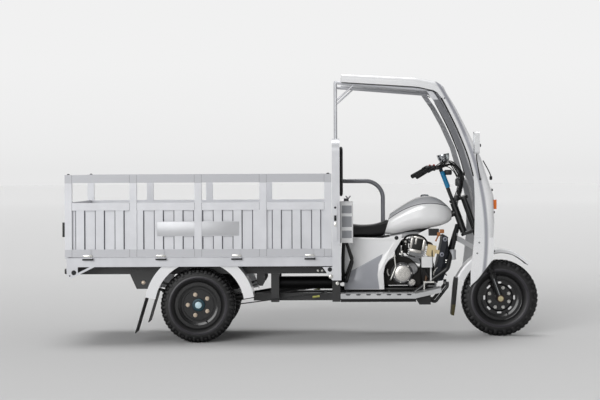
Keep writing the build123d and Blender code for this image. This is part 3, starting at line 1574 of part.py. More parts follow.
def canopy_frame():
    """Tubes from the headboard to the roof with their braces, and a band inside each pillar."""
    side = upright_spacing / 2
    foot_x = headboard_x + headboard_depth / 2
    roof_z = canopy_bottom + canopy_rise * canopy_shares[0][3]
    upright = round_bar((foot_x, side, headboard_top + seat_gap), (foot_x, side, roof_z),
                        upright_diameter)
    rail_x, rail_z = canopy_point(*canopy_shares[2][2:])
    upright += round_bar((foot_x, side, roof_z), (rail_x, side, rail_z), upright_diameter)
    drop_share = brace_run / (rail_x - foot_x)
    upright += round_bar((foot_x, side, brace_foot_z),
                         (foot_x + brace_run, side, roof_z + (rail_z - roof_z) * drop_share),
                         upright_diameter / 2)
    rear = [canopy_point(along, up) for along, up in band_shares]
    front = [(x + band_width, z) for x, z in reversed(rear)]
    outer = canopy_width / 2 - canopy_wall - seat_gap
    band = side_plate(rear + front, outer - band_thickness, outer)
    cross = round_bar((foot_x, -side, roof_z), (foot_x, side, roof_z), upright_diameter)
    return both_sides(upright + band) + cross


def lamp_bodies(gap, depth):
    """The head lamp and both indicators, each a body through the cowl's front."""
    front_x, mid_z = canopy_point(1, lamp_height_share)
    ends = (front_x - depth, front_x + indicator_reach)
    lamp = round_bar((ends[0], 0, mid_z), (ends[1], 0, mid_z), head_lamp_diameter + 2 * gap)
    side = canopy_width / 2 - canopy_corner - indicator_depth
    half = indicator_depth / 2 + gap
    tall = indicator_length / 2 + gap
    signal = block(ends, (side - half, side + half), (mid_z - tall, mid_z + tall))
    return lamp + both_sides(signal)


def front_lamps():
    """The head lamp in the cowl and an indicator at each side."""
    return lamp_bodies(0, indicator_depth)


def wiper():
    """The wiper's spindle on the cowl, with its arm up the windscreen."""
    low = Vector(*canopy_point(*wiper_foot_shares))
    high = Vector(*canopy_point(*canopy_shares[7][:2]))
    out = Vector((high - low).Y, -(high - low).X).normalized()
    foot = low + out * seat_gap
    knob = low + out * wiper_diameter * 2
    tip = high + out * wiper_diameter * 1.5
    middle = low + out * wiper_diameter * 1.5
    spindle = round_bar((foot.X, 0, foot.Y), (knob.X, 0, knob.Y), wiper_diameter * 2)
    return spindle + round_bar((middle.X, 0, middle.Y), (tip.X, screen_width / 4, tip.Y),
                               wiper_diameter)


def mirrors():
    """A mirror on a stem at each side of the shell."""
    foot_x, foot_z = canopy_point(*canopy_shares[8][2:])
    foot_x += canopy_corner
    side = canopy_width / 2 + seat_gap
    boss = side + 2 * wiper_diameter
    out = mirror_spacing / 2
    low = mirror_z - mirror_height / 2
    stem = tube([(foot_x, boss - wiper_diameter, foot_z), (mirror_x, out, low - mirror_depth),
                 (mirror_x, out, mirror_z)], wiper_diameter, mirror_depth / 2)
    stem += round_bar((foot_x, side, foot_z), (foot_x, boss, foot_z), 2 * wiper_diameter)
    glass = Pos(mirror_x, out, mirror_z) * Box(mirror_depth, mirror_width, mirror_height)
    return both_sides(stem + fillet(glass.edges().filter_by(Axis.X), mirror_depth / 2))


pieces = {
    "front_tyre": tyre(front_tyre_diameter, front_tyre_width, front_axle_x, 0, front_axle_z),
    "front_rim": front_rim(),
    "fork": fork(),
    "handlebar": handlebar(),
    "grips": grips(),
    "speedometer": speedometer(),
    "control_cables": control_cables(),
    "front_mudguard": front_mudguard(),
    "front_mud_flap": front_mud_flap(),
    "ladder_frame": ladder_frame(),
    "lower_frame": lower_frame(),
    "cradle_frame": cradle_frame(),
    "rear_axle": rear_axle(),
    "leaf_springs": leaf_springs(),
    "propeller_shaft": propeller_shaft(),
    "engine_crankcase": engine_crankcase(),
    "engine_cylinder": engine_cylinder(),
    "exhaust": exhaust(),
    "radiator": radiator(),
    "coolant_bottle": coolant_bottle(),
    "electrics": electrics(),
    "foot_controls": foot_controls(),
    "brake_rods": brake_rods(),
    "fuel_tank": fuel_tank(),
    "seat": seat(),
    "side_panels": side_panels(),
    "footboards": footboards(),
    "reservoir": reservoir(),
    "grab_rail": grab_rail(),
    "headboard": headboard(),
    "backrest_pad": backrest_pad(),
    "bed_floor": bed_floor(),
    "side_gate_right": side_gate(-1),
    "side_gate_left": side_gate(1),
    "tailgate": tailgate(),
    "rear_mudguards": rear_mudguards(),
    "rear_mud_flaps": rear_mud_flaps(),
    "tail_lamps": tail_lamps(),
    "canopy_shell": canopy_shell(),
    "windscreen": windscreen(),
    "lower_shield": lower_shield(),
    "canopy_frame": canopy_frame(),
    "front_lamps": front_lamps(),
    "wiper": wiper(),
    "mirrors": mirrors(),
}
for name, side in (("right", -1), ("left", 1)):
    middle = side * rear_track / 2
    pieces["rear_tyre_" + name] = tyre(rear_tyre_diameter, rear_tyre_width, rear_axle_x,
                                       middle, rear_axle_z)
    pieces["rear_rim_" + name] = rear_rim(side)

os.makedirs("parts", exist_ok=True)
for name, piece in pieces.items():
    export_step(piece, "parts/" + name + ".step")
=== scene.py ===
import math

import bmesh
import bpy
from mathutils import Matrix, Vector


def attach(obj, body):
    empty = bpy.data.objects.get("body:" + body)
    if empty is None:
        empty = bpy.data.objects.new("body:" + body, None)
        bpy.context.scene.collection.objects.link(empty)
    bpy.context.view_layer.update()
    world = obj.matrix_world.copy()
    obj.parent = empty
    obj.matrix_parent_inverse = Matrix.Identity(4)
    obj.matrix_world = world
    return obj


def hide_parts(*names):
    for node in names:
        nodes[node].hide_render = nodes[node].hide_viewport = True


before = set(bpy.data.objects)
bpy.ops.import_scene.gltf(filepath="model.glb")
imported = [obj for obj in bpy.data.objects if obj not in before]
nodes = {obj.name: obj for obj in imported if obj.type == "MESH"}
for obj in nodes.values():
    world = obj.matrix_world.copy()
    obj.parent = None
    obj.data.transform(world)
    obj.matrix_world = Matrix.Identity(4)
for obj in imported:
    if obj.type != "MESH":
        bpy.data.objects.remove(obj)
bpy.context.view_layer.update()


# The camera stands far off the vehicle's right side at chest height and looks straight across it
# with a long lens, turned a quarter of a degree, as in the photograph.
bpy.ops.object.select_all(action="DESELECT")
bpy.ops.object.camera_add(location=(0.226, -13.95, 1.278),
                          rotation=(math.radians(90), math.radians(0.25), 0))
camera = bpy.context.object
camera.data.sensor_width = 36
camera.data.lens = 108.8
camera.data.shift_x = -0.055
camera.data.shift_y = -0.05
camera.data.clip_end = 400
bpy.context.scene.camera = camera
bpy.context.scene.view_settings.view_transform = "Standard"


# The studio: a wide matt floor, mid grey round the vehicle and paler far off as painted light
# and shade, under an even pale sky with one broad soft lamp above, one before the vehicle and a
# weak one behind it.

def linear(code):
    """An sRGB hex colour as linear values with an alpha of one."""
    shares = [int(code[n:n + 2], 16) / 255 for n in (1, 3, 5)]
    return [s / 12.92 if s <= 0.04045 else ((s + 0.055) / 1.055) ** 2.4 for s in shares] + [1]


def add(tree, kind, inputs, **settings):
    """One shader node: its settings, then the value of each input or the socket that feeds it."""
    node = tree.nodes.new(kind)
    for name, value in settings.items():
        setattr(node, name, value)
    for name, value in inputs.items():
        if isinstance(value, bpy.types.NodeSocket):
            tree.links.new(value, node.inputs[name])
        else:
            node.inputs[name].default_value = value
    return node


def ramp(node, stops):
    """Puts a colour ramp's stops in place, each a position and a hex colour."""
    points = node.color_ramp.elements
    while len(points) < len(stops):
        points.new(0.5)
    for point, (position, code) in zip(points, stops):
        point.position = position
        point.color = linear(code)
    return node.outputs["Color"]


def blank(name):
    """A new material with an empty tree, its output and its object coordinates."""
    material = bpy.data.materials.new(name)
    material.use_nodes = True
    tree = material.node_tree
    tree.nodes.clear()
    out = add(tree, "ShaderNodeOutputMaterial", {})
    place = add(tree, "ShaderNodeTexCoord", {})
    return material, tree, out, place.outputs["Object"]


def maths(tree, operation, *values):
    """One arithmetic node and its result."""
    node = add(tree, "ShaderNodeMath", dict(enumerate(values)), operation=operation)
    return node.outputs[0]


floor_finish, tree, out, place = blank("matt_studio_floor")
span = 60.0  # metres over which the floor pales
away = add(tree, "ShaderNodeVectorMath", {0: place}, operation="LENGTH")
root = maths(tree, "POWER", maths(tree, "DIVIDE", away.outputs["Value"], span), 0.5)
# Painted light and shade: the floor's grey is darker round the vehicle and paler far off.
tone = ramp(add(tree, "ShaderNodeValToRGB", {"Fac": root}),
            [(0.0, "#C6C6C6"), (0.16, "#C1C1C1"), (0.25, "#C9C9C9"), (0.41, "#D5D5D5"),
             (0.58, "#D9D9D9"), (0.9, "#E0E0E0"), (1.0, "#E4E4E4")])
matt = add(tree, "ShaderNodeBsdfDiffuse", {"Color": tone, "Roughness": 0.6})
tree.links.new(matt.outputs[0], out.inputs["Surface"])
bpy.ops.object.select_all(action="DESELECT")
bpy.ops.mesh.primitive_circle_add(vertices=96, radius=150, fill_type="NGON", location=(0, 0, 0))
floor = bpy.context.object
floor.name = "studio_floor"
floor.data.materials.append(floor_finish)

world = bpy.data.worlds.new("pale_studio")
bpy.context.scene.world = world
world.use_nodes = True
tree = world.node_tree
tree.nodes.clear()
aim = add(tree, "ShaderNodeTexCoord", {})
parts = add(tree, "ShaderNodeSeparateXYZ", {"Vector": aim.outputs["Generated"]})
seen = ramp(add(tree, "ShaderNodeValToRGB", {"Fac": parts.outputs["Z"]}),
            [(0.0, "#E8E8E8"), (0.013, "#ECECEC"), (0.035, "#EFEFEF"), (0.057, "#F1F1F1"),
             (1.0, "#F1F1F1")])
given = ramp(add(tree, "ShaderNodeValToRGB", {"Fac": parts.outputs["Z"]}),
             [(0.0, "#C4C4C4"), (0.12, "#CFCFCF"), (0.45, "#DCDCDC"), (1.0, "#FFFFFF")])
rays = add(tree, "ShaderNodeLightPath", {})
direct = maths(tree, "MAXIMUM", rays.outputs["Is Camera Ray"], rays.outputs["Is Transmission Ray"])
view = add(tree, "ShaderNodeBackground", {"Color": seen, "Strength": 1.0})
glow = add(tree, "ShaderNodeBackground", {"Color": given, "Strength": 0.35})
both = add(tree, "ShaderNodeMixShader", {0: direct, 1: glow.outputs[0], 2: view.outputs[0]})
add(tree, "ShaderNodeOutputWorld", {"Surface": both.outputs[0]})


def soft_sun(name, aim, angle, strength):
    """A broad, even light from one side: where it stands, how wide it looks and how strong."""
    bpy.ops.object.light_add(type="SUN", location=aim)
    lamp = bpy.context.object
    lamp.name = name
    lamp.data.energy = strength
    lamp.data.angle = math.radians(angle)
    lamp.rotation_euler = Vector(aim).to_track_quat("Z", "Y").to_euler()


soft_sun("overhead_softbox", (-0.5, 0.9, 5.0), 36, 1.75)
soft_sun("front_softbox", (-2.2, -6.0, 1.6), 36, 1.42)
soft_sun("rear_softbox", (2.0, 6.0, 2.5), 60, 0.35)


# Powder-coated steel: the bed's gates, tailgate, floor frame and headboard are folded and welded
# sheet with a thick silver powder coat, faintly pebbled, a little duller where it pooled.

def finish(name, tones, metallic, rough, grain, relief, patch=160, coat=0.0, coat_rough=0.1):
    """A worked surface: broad tone patches, a fine grain that moves its gloss, and its relief.

    Tones are two hex colours, rough is the lowest and highest, and the rest are millimetres."""
    material, tree, out, place = blank(name)
    broad = add(tree, "ShaderNodeTexNoise", {"Vector": place, "Scale": 1000 / patch,
                                             "Detail": 3.0, "Roughness": 0.55})
    fine = add(tree, "ShaderNodeTexNoise", {"Vector": place, "Scale": 1000 / grain,
                                            "Detail": 4.0, "Roughness": 0.6})
    colour = ramp(add(tree, "ShaderNodeValToRGB", {"Fac": broad.outputs["Fac"]}),
                  [(0.3, tones[0]), (0.7, tones[1])])
    blur = add(tree, "ShaderNodeMapRange", {"Value": fine.outputs["Fac"], "From Min": 0.3,
                                            "From Max": 0.7, "To Min": rough[0],
                                            "To Max": rough[1]})
    bump = add(tree, "ShaderNodeBump", {"Height": fine.outputs["Fac"], "Strength": 1.0,
                                        "Distance": relief / 1000})
    skin = add(tree, "ShaderNodeBsdfPrincipled",
               {"Base Color": colour, "Metallic": metallic, "Roughness": blur.outputs["Result"],
                "Normal": bump.outputs["Normal"], "Coat Weight": coat,
                "Coat Roughness": coat_rough})
    tree.links.new(skin.outputs[0], out.inputs["Surface"])
    return material


def dress(material, *names):
    """Gives CAD nodes this finish."""
    for name in names:
        nodes[name].data.materials.clear()
        nodes[name].data.materials.append(material)


def surface(material):
    """A material's tree, its shader and its object coordinates apart."""
    tree = material.node_tree
    skin = next(n for n in tree.nodes if n.type == "BSDF_PRINCIPLED")
    place = next(n for n in tree.nodes if n.type == "TEX_COORD").outputs["Object"]
    return tree, skin, add(tree, "ShaderNodeSeparateXYZ", {"Vector": place}).outputs


def over(tree, skin, share, code):
    """Lays a colour over what a surface has, by a share from 0 to 1."""
    under = skin.inputs["Base Color"].links[0].from_socket
    mixed = add(tree, "ShaderNodeMix", {0: share, 6: under, 7: linear(code)}, data_type="RGBA")
    tree.links.new(mixed.outputs[2], skin.inputs["Base Color"])


def painted(material, code, *tests):
    """Paints a second tone where all tests hold, each an object axis and a low and high in m."""
    tree, skin, parts = surface(material)
    inside = 1.0
    for axis, low, high in tests:
        value = parts[axis[-1]]
        if axis.startswith("|"):
            value = maths(tree, "ABSOLUTE", value)
        here = maths(tree, "COMPARE", value, (low + high) / 2, (high - low) / 2)
        inside = maths(tree, "MULTIPLY", here, inside)
    over(tree, skin, inside, code)


def band_along(material, code, peak, middle, bend, low, high, soft, upright):
    """Paints a soft band beside a gently curved line on a side face.

    The line is peak - bend * (v - middle) ** 2, with v the height when it stands upright."""
    tree, skin, parts = surface(material)
    along, across = (parts[n] for n in (("Z", "X") if upright else ("X", "Z")))
    square = maths(tree, "POWER", maths(tree, "SUBTRACT", along, middle), 2.0)
    away = maths(tree, "ADD", across, maths(tree, "MULTIPLY_ADD", square, bend, -peak))
    rise = add(tree, "ShaderNodeMapRange",
               {"Value": away, "From Min": low, "From Max": low + soft},
               interpolation_type="SMOOTHSTEP")
    fall = add(tree, "ShaderNodeMapRange",
               {"Value": away, "From Min": high, "From Max": high + soft, "To Min": 1.0,
                "To Max": 0.0}, interpolation_type="SMOOTHSTEP")
    over(tree, skin, maths(tree, "MULTIPLY", rise.outputs[0], fall.outputs[0]), code)


def slope_shade(material, code):
    """Paints shade on the narrow slopes of the folded ribs, which face sideways and catch less
    light.
    """
    tree, skin, _ = surface(material)
    lie = add(tree, "ShaderNodeNewGeometry", {})
    parts = add(tree, "ShaderNodeSeparateXYZ", {"Vector": lie.outputs["True Normal"]})
    side = maths(tree, "ABSOLUTE", parts.outputs["X"])
    over(tree, skin, maths(tree, "COMPARE", side, 0.86, 0.1), code)


powder_silver = finish("powder_coated_steel", ("#C6C7CB", "#D3D4D8"), 0.35, (0.34, 0.48),
                       2.2, 0.06, coat=0.15, coat_rough=0.3)
painted(powder_silver, "#1A1A1B", ("X", -1.78, -1.7505), ("|Y", 0.524, 0.550), ("Z", 0.785, 0.90))
dress(powder_silver, "tailgate", "bed_floor")
gate_silver = finish("powder_coated_ribbed_gate", ("#D0D1D5", "#DBDCE0"), 0.3, (0.34, 0.48), 2.2,
                     0.06, coat=0.15, coat_rough=0.3)
# Painted shade on the ribs' sideways slopes.
slope_shade(gate_silver, "#77787E")
# Painted shade: the top and bottom rails a little darker than the mid rail and the ribs.
painted(gate_silver, "#BABBBF", ("Z", 1.188, 1.26))
painted(gate_silver, "#BFC0C4", ("Z", 0.60, 0.7008))
dress(gate_silver, "side_gate_right", "side_gate_left")
board_silver = finish("powder_coated_headboard", ("#CDCED2", "#D8D9DC"), 0.3, (0.34, 0.48), 2.2,
                      0.06, coat=0.15, coat_rough=0.3)
painted(board_silver, "#17181A", ("|Y", 0.6515, 0.66), ("X", 0.225, 0.2585), ("Z", 0.755, 0.858))
painted(board_silver, "#B9BABD", ("|Y", 0.6515, 0.66), ("X", 0.225, 0.2585), ("Z", 0.858, 1.037))
dress(board_silver, "headboard")
frame_silver = finish("powder_coated_tube", ("#C8C9CD", "#D3D4D8"), 0.3, (0.3, 0.42), 2.2, 0.05,
                      coat=0.2, coat_rough=0.2)
painted(frame_silver, "#6E6F73", ("X", 0.94, 1.40), ("Z", 0.7, 1.80))
painted(frame_silver, "#A2A3A6", ("X", 0.94, 1.40), ("Z", 0.7, 1.80), ("Y", 0.2, 0.6))
dress(frame_silver, "canopy_frame")


# Silver base coat under clear lacquer: the moulded canopy, shield and guards and the pressed tank
# carry fine metal flake, so they are smoother and brighter than the bed.
lacquer_silver = finish("silver_lacquered_moulding", ("#F0F1F3", "#F7F7F8"), 0.06, (0.24, 0.34),
                        1.2, 0.02, patch=300, coat=0.5, coat_rough=0.08)
dress(lacquer_silver, "front_mudguard", "rear_mudguards")
shell_silver = finish("silver_lacquered_canopy", ("#ECEDEF", "#F4F4F5"), 0.1, (0.22, 0.32), 1.2,
                      0.02, patch=300, coat=0.5, coat_rough=0.08)
# Painted shade: a soft grey band down the canopy's leg, standing in for a shallow crease.
band_along(shell_silver, "#A2A3AB", 1.352, 0.776, 0.27, -0.006, 0.020, 0.016, True)
dress(shell_silver, "canopy_shell", "lower_shield")
tank_silver = finish("silver_lacquered_tank", ("#F6F7F8", "#FCFCFC"), 0.04, (0.18, 0.28), 1.2,
                     0.02, patch=300, coat=0.7, coat_rough=0.05)
# Painted shade: the tank's top above its crease is grey, and the crease a thin dark line.
band_along(tank_silver, "#C6C7CA", 1.021, 0.960, 1.25, 0.0, 0.044, 0.010, False)
band_along(tank_silver, "#6E6F73", 1.021, 0.960, 1.25, -0.004, 0.003, 0.002, False)
dress(tank_silver, "fuel_tank")
panel_silver = finish("silver_lacquered_side_panel", ("#F2F3F4", "#F8F8F9"), 0.05, (0.3, 0.4),
                      1.2, 0.02, patch=300, coat=0.4, coat_rough=0.1)
dress(panel_silver, "side_panels")


# Black chassis paint over welded and rolled steel: thick and glossy. Two stretches of the cradle
# are light, because the photograph shows light where they run.
chassis_black = finish("black_chassis_enamel", ("#08090A", "#131416"), 0.0, (0.28, 0.5), 6, 0.12,
                       patch=90, coat=0.4, coat_rough=0.2)
stay_black = finish("cradle_enamel", ("#08090A", "#131416"), 0.0, (0.28, 0.5), 6, 0.12, patch=90,
                    coat=0.4, coat_rough=0.2)
painted(stay_black, "#D2D3D5", ("X", 1.172, 1.31), ("Z", 0.665, 0.790))
painted(stay_black, "#C9CACC", ("X", 0.655, 0.985), ("Z", 0.735, 0.800))
dress(stay_black, "cradle_frame")
dress(chassis_black, "ladder_frame", "lower_frame", "rear_axle", "leaf_springs",
      "propeller_shaft", "brake_rods", "fork", "handlebar")


# The guard hoop on the rider's left: one bent steel tube under a smooth grey enamel, fixed at its
# feet.
hoop_grey = finish("grey_tube_enamel", ("#85868B", "#93949A"), 0.35, (0.28, 0.4), 2.5, 0.03,
                   coat=0.4)
dress(hoop_grey, "grab_rail")


# Cast aluminium, left as it leaves the mould: a gritty skin on the cylinder, and grimier on the
# engine's cases, whose hollows inboard of the covers are painted nearly black as painted shade.
cast_metal = finish("sand_cast_aluminium", ("#77787A", "#A3A4A6"), 0.9, (0.38, 0.58), 1.6, 0.25,
                    patch=60)
dress(cast_metal, "engine_cylinder")
case_metal = finish("grimy_cast_case_painted_shade", ("#5E5E5F", "#8C8C8D"), 0.8, (0.36, 0.56), 1.6, 0.4,
                    patch=35)
# Painted shade: the cases' faces inboard of the covers nearly black, less dark just inside them.
painted(case_metal, "#1C1B19", ("|Y", 0.0, 0.1065))
painted(case_metal, "#3A3936", ("|Y", 0.1065, 0.1205))
dress(case_metal, "engine_crankcase")


# Bare and plated small metal: polished chrome, zinc-plated pressings, and the exhaust's steel,
# browned by heat and black along its middle.
chrome = finish("polished_chrome", ("#C9CCD0", "#DADDE0"), 1.0, (0.08, 0.18), 3, 0.01)
zinc = finish("zinc_plated_steel", ("#DAD9D4", "#ECEBE6"), 0.7, (0.22, 0.35), 2, 0.05, patch=30)
dress(chrome, "speedometer")
dress(zinc, "foot_controls")
brown_pipe = finish("heat_browned_steel", ("#4A3A30", "#6E5A4A"), 0.8, (0.35, 0.55), 5, 0.08,
                    patch=50)
painted(brown_pipe, "#0F0F10", ("X", -0.3, 0.86), ("Z", 0.0, 0.8))
dress(brown_pipe, "exhaust")


# Moulded rubber and plastic in black, white and silver, then the radiator's core, the pressed
# tread plates, the wheels' enamel, the tyres' rubber and the seat's grained vinyl.
rubber = finish("moulded_black_rubber", ("#151516", "#232324"), 0.0, (0.55, 0.75), 1.5, 0.15,
                patch=80)
plastic = finish("grained_black_plastic", ("#141517", "#1D1E20"), 0.0, (0.35, 0.5), 1.0, 0.05)
dress(rubber, "front_mud_flap", "rear_mud_flaps", "grips", "control_cables")
dress(plastic, "wiper")
unit_black = finish("black_ignition_unit", ("#121315", "#1B1C1E"), 0.0, (0.3, 0.45), 1.0, 0.05)
painted(unit_black, "#E0CB9E", ("Z", 0.55, 0.765), ("Y", -0.2, -0.03))
dress(unit_black, "electrics")
white_plastic = finish("white_moulded_plastic", ("#E3E4E4", "#EEEEEE"), 0.0, (0.25, 0.35), 1.5,
                       0.02)
dress(white_plastic, "coolant_bottle")
mirror_case = finish("silver_mirror_case", ("#DFE0E2", "#EAEBEC"), 0.15, (0.22, 0.32), 1.5, 0.02)
painted(mirror_case, "#151617", ("Z", 1.1, 1.392))
dress(mirror_case, "mirrors")
tank_grey = finish("silver_water_tank_plastic", ("#F6F7F8", "#FCFCFC"), 0.0, (0.3, 0.45), 1.8,
                   0.04)
for low, high in ((0.770, 0.826), (0.853, 0.932), (0.955, 1.013)):
    painted(tank_grey, "#A2A4A9", ("Y", -0.4475, -0.4440), ("X", 0.285, 0.364), ("Z", low, high))
painted(tank_grey, "#121213", ("Z", 0.3, 0.7345))
painted(tank_grey, "#4A4A4C", ("Z", 1.0445, 1.1))
dress(tank_grey, "reservoir")
core_black = finish("navy_black_radiator", ("#10131A", "#1D222C"), 0.3, (0.35, 0.55), 2, 0.2)
dress(core_black, "radiator")
tread_metal = finish("pressed_tread_plate", ("#B4B5B6", "#C9CACB"), 0.5, (0.35, 0.5), 3, 0.1)
painted(tread_metal, "#141415", ("Z", 0.28, 0.3165))
dress(tread_metal, "footboards")
wheel_black = finish("black_wheel_enamel", ("#060607", "#0D0D0F"), 0.0, (0.16, 0.28), 3, 0.02,
                     coat=0.3)
dress(wheel_black, "front_rim", "rear_rim_right", "rear_rim_left")
tyre_black = finish("vulcanised_tyre_rubber", ("#070708", "#100F11"), 0.0, (0.42, 0.58), 2.2,
                    0.12, patch=60)
dress(tyre_black, "front_tyre", "rear_tyre_right", "rear_tyre_left")
vinyl = finish("grained_seat_vinyl", ("#121213", "#1B1B1C"), 0.0, (0.38, 0.55), 1.4, 0.12)
dress(vinyl, "seat", "backrest_pad")


# Lamp lenses and the screen: moulded amber, red and clear plastic for the lamps, and one clear
# pane held in the canopy's opening.

def lens(name, code, rough, through):
    """A clear or tinted moulded lens."""
    material, tree, out, place = blank(name)
    ribs = add(tree, "ShaderNodeTexNoise", {"Vector": place, "Scale": 60.0, "Detail": 2.0})
    bump = add(tree, "ShaderNodeBump", {"Height": ribs.outputs["Fac"], "Strength": 0.2,
                                        "Distance": 0.001})
    skin = add(tree, "ShaderNodeBsdfPrincipled",
               {"Base Color": linear(code), "Roughness": rough, "IOR": 1.49,
                "Transmission Weight": through, "Normal": bump.outputs["Normal"]})
    tree.links.new(skin.outputs[0], out.inputs["Surface"])
    return material


amber = finish("amber_lens", ("#D8640F", "#EA7A1E"), 0.0, (0.08, 0.16), 1.5, 0.02, coat=0.6)
painted(amber, "#222426", ("|Y", -0.01, 0.16))
red = lens("red_lens", "#A01010", 0.12, 0.35)
clear = lens("clear_lamp_lens", "#EEF1F2", 0.05, 0.25)
dress(amber, "front_lamps")
dress(red, "tail_lamps")

pane_glass, tree, out, place = blank("clear_windscreen")
see = add(tree, "ShaderNodeBsdfTransparent", {"Color": linear("#F4F6F5")})
gloss = add(tree, "ShaderNodeBsdfGlossy", {"Color": linear("#FFFFFF"), "Roughness": 0.02})
edge = add(tree, "ShaderNodeFresnel", {"IOR": 1.45})
mixed = add(tree, "ShaderNodeMixShader", {0: edge.outputs[0], 1: see.outputs[0],
                                          2: gloss.outputs[0]})
tree.links.new(mixed.outputs[0], out.inputs["Surface"])
dress(pane_glass, "windscreen")


# Tyres: black vulcanised rubber with a rounded flank, a faint mould ring and tall blocks that run
# from the crown down over each shoulder, long and short by turns. Each is pressed onto its rim.

def placed(name, mesh):
    """A new object with this mesh, alone selected and active."""
    piece = bpy.data.objects.new(name, mesh)
    bpy.context.collection.objects.link(piece)
    bpy.ops.object.select_all(action="DESELECT")
    bpy.context.view_layer.objects.active = piece
    piece.select_set(True)
    return piece


def worked(piece, *steps):
    """Runs mesh steps on all of the active piece, each an operator and its settings."""
    bpy.ops.object.mode_set(mode="EDIT")
    for tool, settings in steps:
        bpy.ops.mesh.select_all(action="SELECT")
        tool(**settings)
    bpy.ops.object.mode_set(mode="OBJECT")
    return piece


outwards = (bpy.ops.mesh.normals_make_consistent, {"inside": False})


def merge(gap):
    """The mesh step that joins points closer than a gap."""
    return bpy.ops.mesh.remove_doubles, {"threshold": gap}


def soften(width, segments=2):
    """The mesh step that bevels every edge."""
    return bpy.ops.mesh.bevel, {"offset": width, "segments": segments, "affect": "EDGES"}


def shaped(piece, kind, **settings):
    """Adds a modifier to the active piece, sets it and applies it."""
    step = piece.modifiers.new(kind, kind)
    for name, value in settings.items():
        setattr(step, name, value)
    bpy.ops.object.modifier_apply(modifier=step.name)


def lathe(outline, centre, axis=(0, 1, 0), steps=64, closed=False):
    """Spins an outline of radius and rise pairs about an axis through a centre."""
    up = Vector(axis).normalized()
    out = up.orthogonal().normalized()
    points = [Vector(centre) + out * radius + up * rise for radius, rise in outline]
    edges = [(n, n + 1) for n in range(len(points) - 1)]
    if closed:
        edges.append((len(points) - 1, 0))
    mesh = bpy.data.meshes.new("outline")
    mesh.from_pydata(points, edges, [])
    spin = {"steps": steps, "angle": math.tau, "center": centre, "axis": up}
    return worked(placed("outline", mesh), (bpy.ops.mesh.spin, spin), merge(0.00003), outwards)


def settle(name, body, material, smooth=35):
    """Names the active piece, settles its place into its mesh, finishes it and lets it ride."""
    piece = bpy.context.object
    piece.name = piece.data.name = name
    bpy.ops.object.transform_apply(location=True, rotation=True, scale=True)
    piece.data.materials.clear()
    piece.data.materials.append(material)
    bpy.ops.object.shade_smooth_by_angle(angle=math.radians(smooth))
    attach(piece, body)
    return piece


def joined(pieces):
    """Joins pieces into the first of them."""
    bpy.ops.object.select_all(action="DESELECT")
    for piece in pieces:
        piece.select_set(True)
    bpy.context.view_layer.objects.active = pieces[0]
    bpy.ops.object.join()
    return pieces[0]


def group(pieces, name, body, material, smooth=35):
    """Joins pieces into one and settles it."""
    joined(pieces)
    return settle(name, body, material, smooth)


def repeat(master, places, more=()):
    """Copies a piece to each place, every copy with its own mesh, and joins them into one."""
    made = list(more)
    for place in places:
        copy = bpy.data.objects.new(master.name, master.data.copy())
        copy.data.transform(place)
        bpy.context.collection.objects.link(copy)
        made.append(copy)
    bpy.data.objects.remove(master)
    return joined(made)


def about(centre, angle, axis="Y"):
    """A turn about an axis through a centre."""
    move = Matrix.Translation(Vector(centre))
    return move @ Matrix.Rotation(angle, 4, axis) @ move.inverted()


def plate(points, depth, bevel, axis=(0, 1, 0)):
    """A flat outline given its thickness along an axis, both ways, with bevelled edges."""
    half = Vector(axis).normalized() * depth / 2
    mesh = bpy.data.meshes.new("plate")
    mesh.from_pydata([Vector(p) - half for p in points], [], [list(range(len(points)))])
    thicken = {"TRANSFORM_OT_translate": {"value": half * 2}}
    return worked(placed("plate", mesh), (bpy.ops.mesh.extrude_region_move, thicken), outwards,
                  soften(bevel))


def block_tyre(name, body, centre, radius, width, count):
    """A ridged tyre on its rim, with its blocks turned round the wheel."""
    half, tall = width / 2, radius - bead
    flank = [(0.0, 0.60), (0.05, 0.72), (0.14, 0.86), (0.28, 0.95), (0.33, 0.975), (0.345, 1.0),
             (0.375, 1.0), (0.39, 0.985), (0.48, 0.985), (0.60, 0.965), (0.72, 0.92),
             (0.82, 0.83), (0.88, 0.70), (0.895, 0.40)]
    outline = [(bead + tall * up, half * out) for up, out in flank]
    outline += [(radius - 0.012, 0)]
    outline += [(r, -y) for r, y in reversed(outline[:-1])]
    carcass = lathe(outline, centre, steps=104, closed=True)
    masters = []
    for sign in (-1, 1):
        for reach in (0.60, 0.74):
            edge = [(1.0, 0.10), (1.0, 0.58), (0.965, 0.80), (0.87, 0.955), (reach + 0.03, 1.0),
                    (reach, 0.985), (reach, 0.90), (0.80, 0.80), (0.86, 0.60), (0.86, 0.10)]
            face = [Vector(centre) + Vector((0, sign * half * out, bead + tall * up))
                    for up, out in edge]
            lug = plate(face, math.tau * radius / count * 0.60, 0.0016, axis=(1, 0, 0))
            masters.append((sign, reach, lug))
    pieces = [carcass]
    step = math.tau / count
    for sign, reach, lug in masters:
        start = (0.5 if sign > 0 else 0.0) + (1.0 if reach > 0.7 else 0.0)
        places = [about(centre, step * (n + start)) for n in range(0, count, 2)]
        pieces = [repeat(lug, places, pieces)]
    edge = [(1.0, -0.07), (1.0, 0.07), (0.86, 0.07), (0.86, -0.07)]
    face = [Vector(centre) + Vector((0, half * out, bead + tall * up)) for up, out in edge]
    rib = plate(face, math.tau * radius / count * 0.72, 0.001, axis=(1, 0, 0))
    repeat(rib, [about(centre, step * (n + 0.25)) for n in range(count)], pieces)
    tyre = settle("block_tyre_" + name, body, tyre_black, smooth=28)
    node = body.replace("wheel", "tyre")
    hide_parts(node)


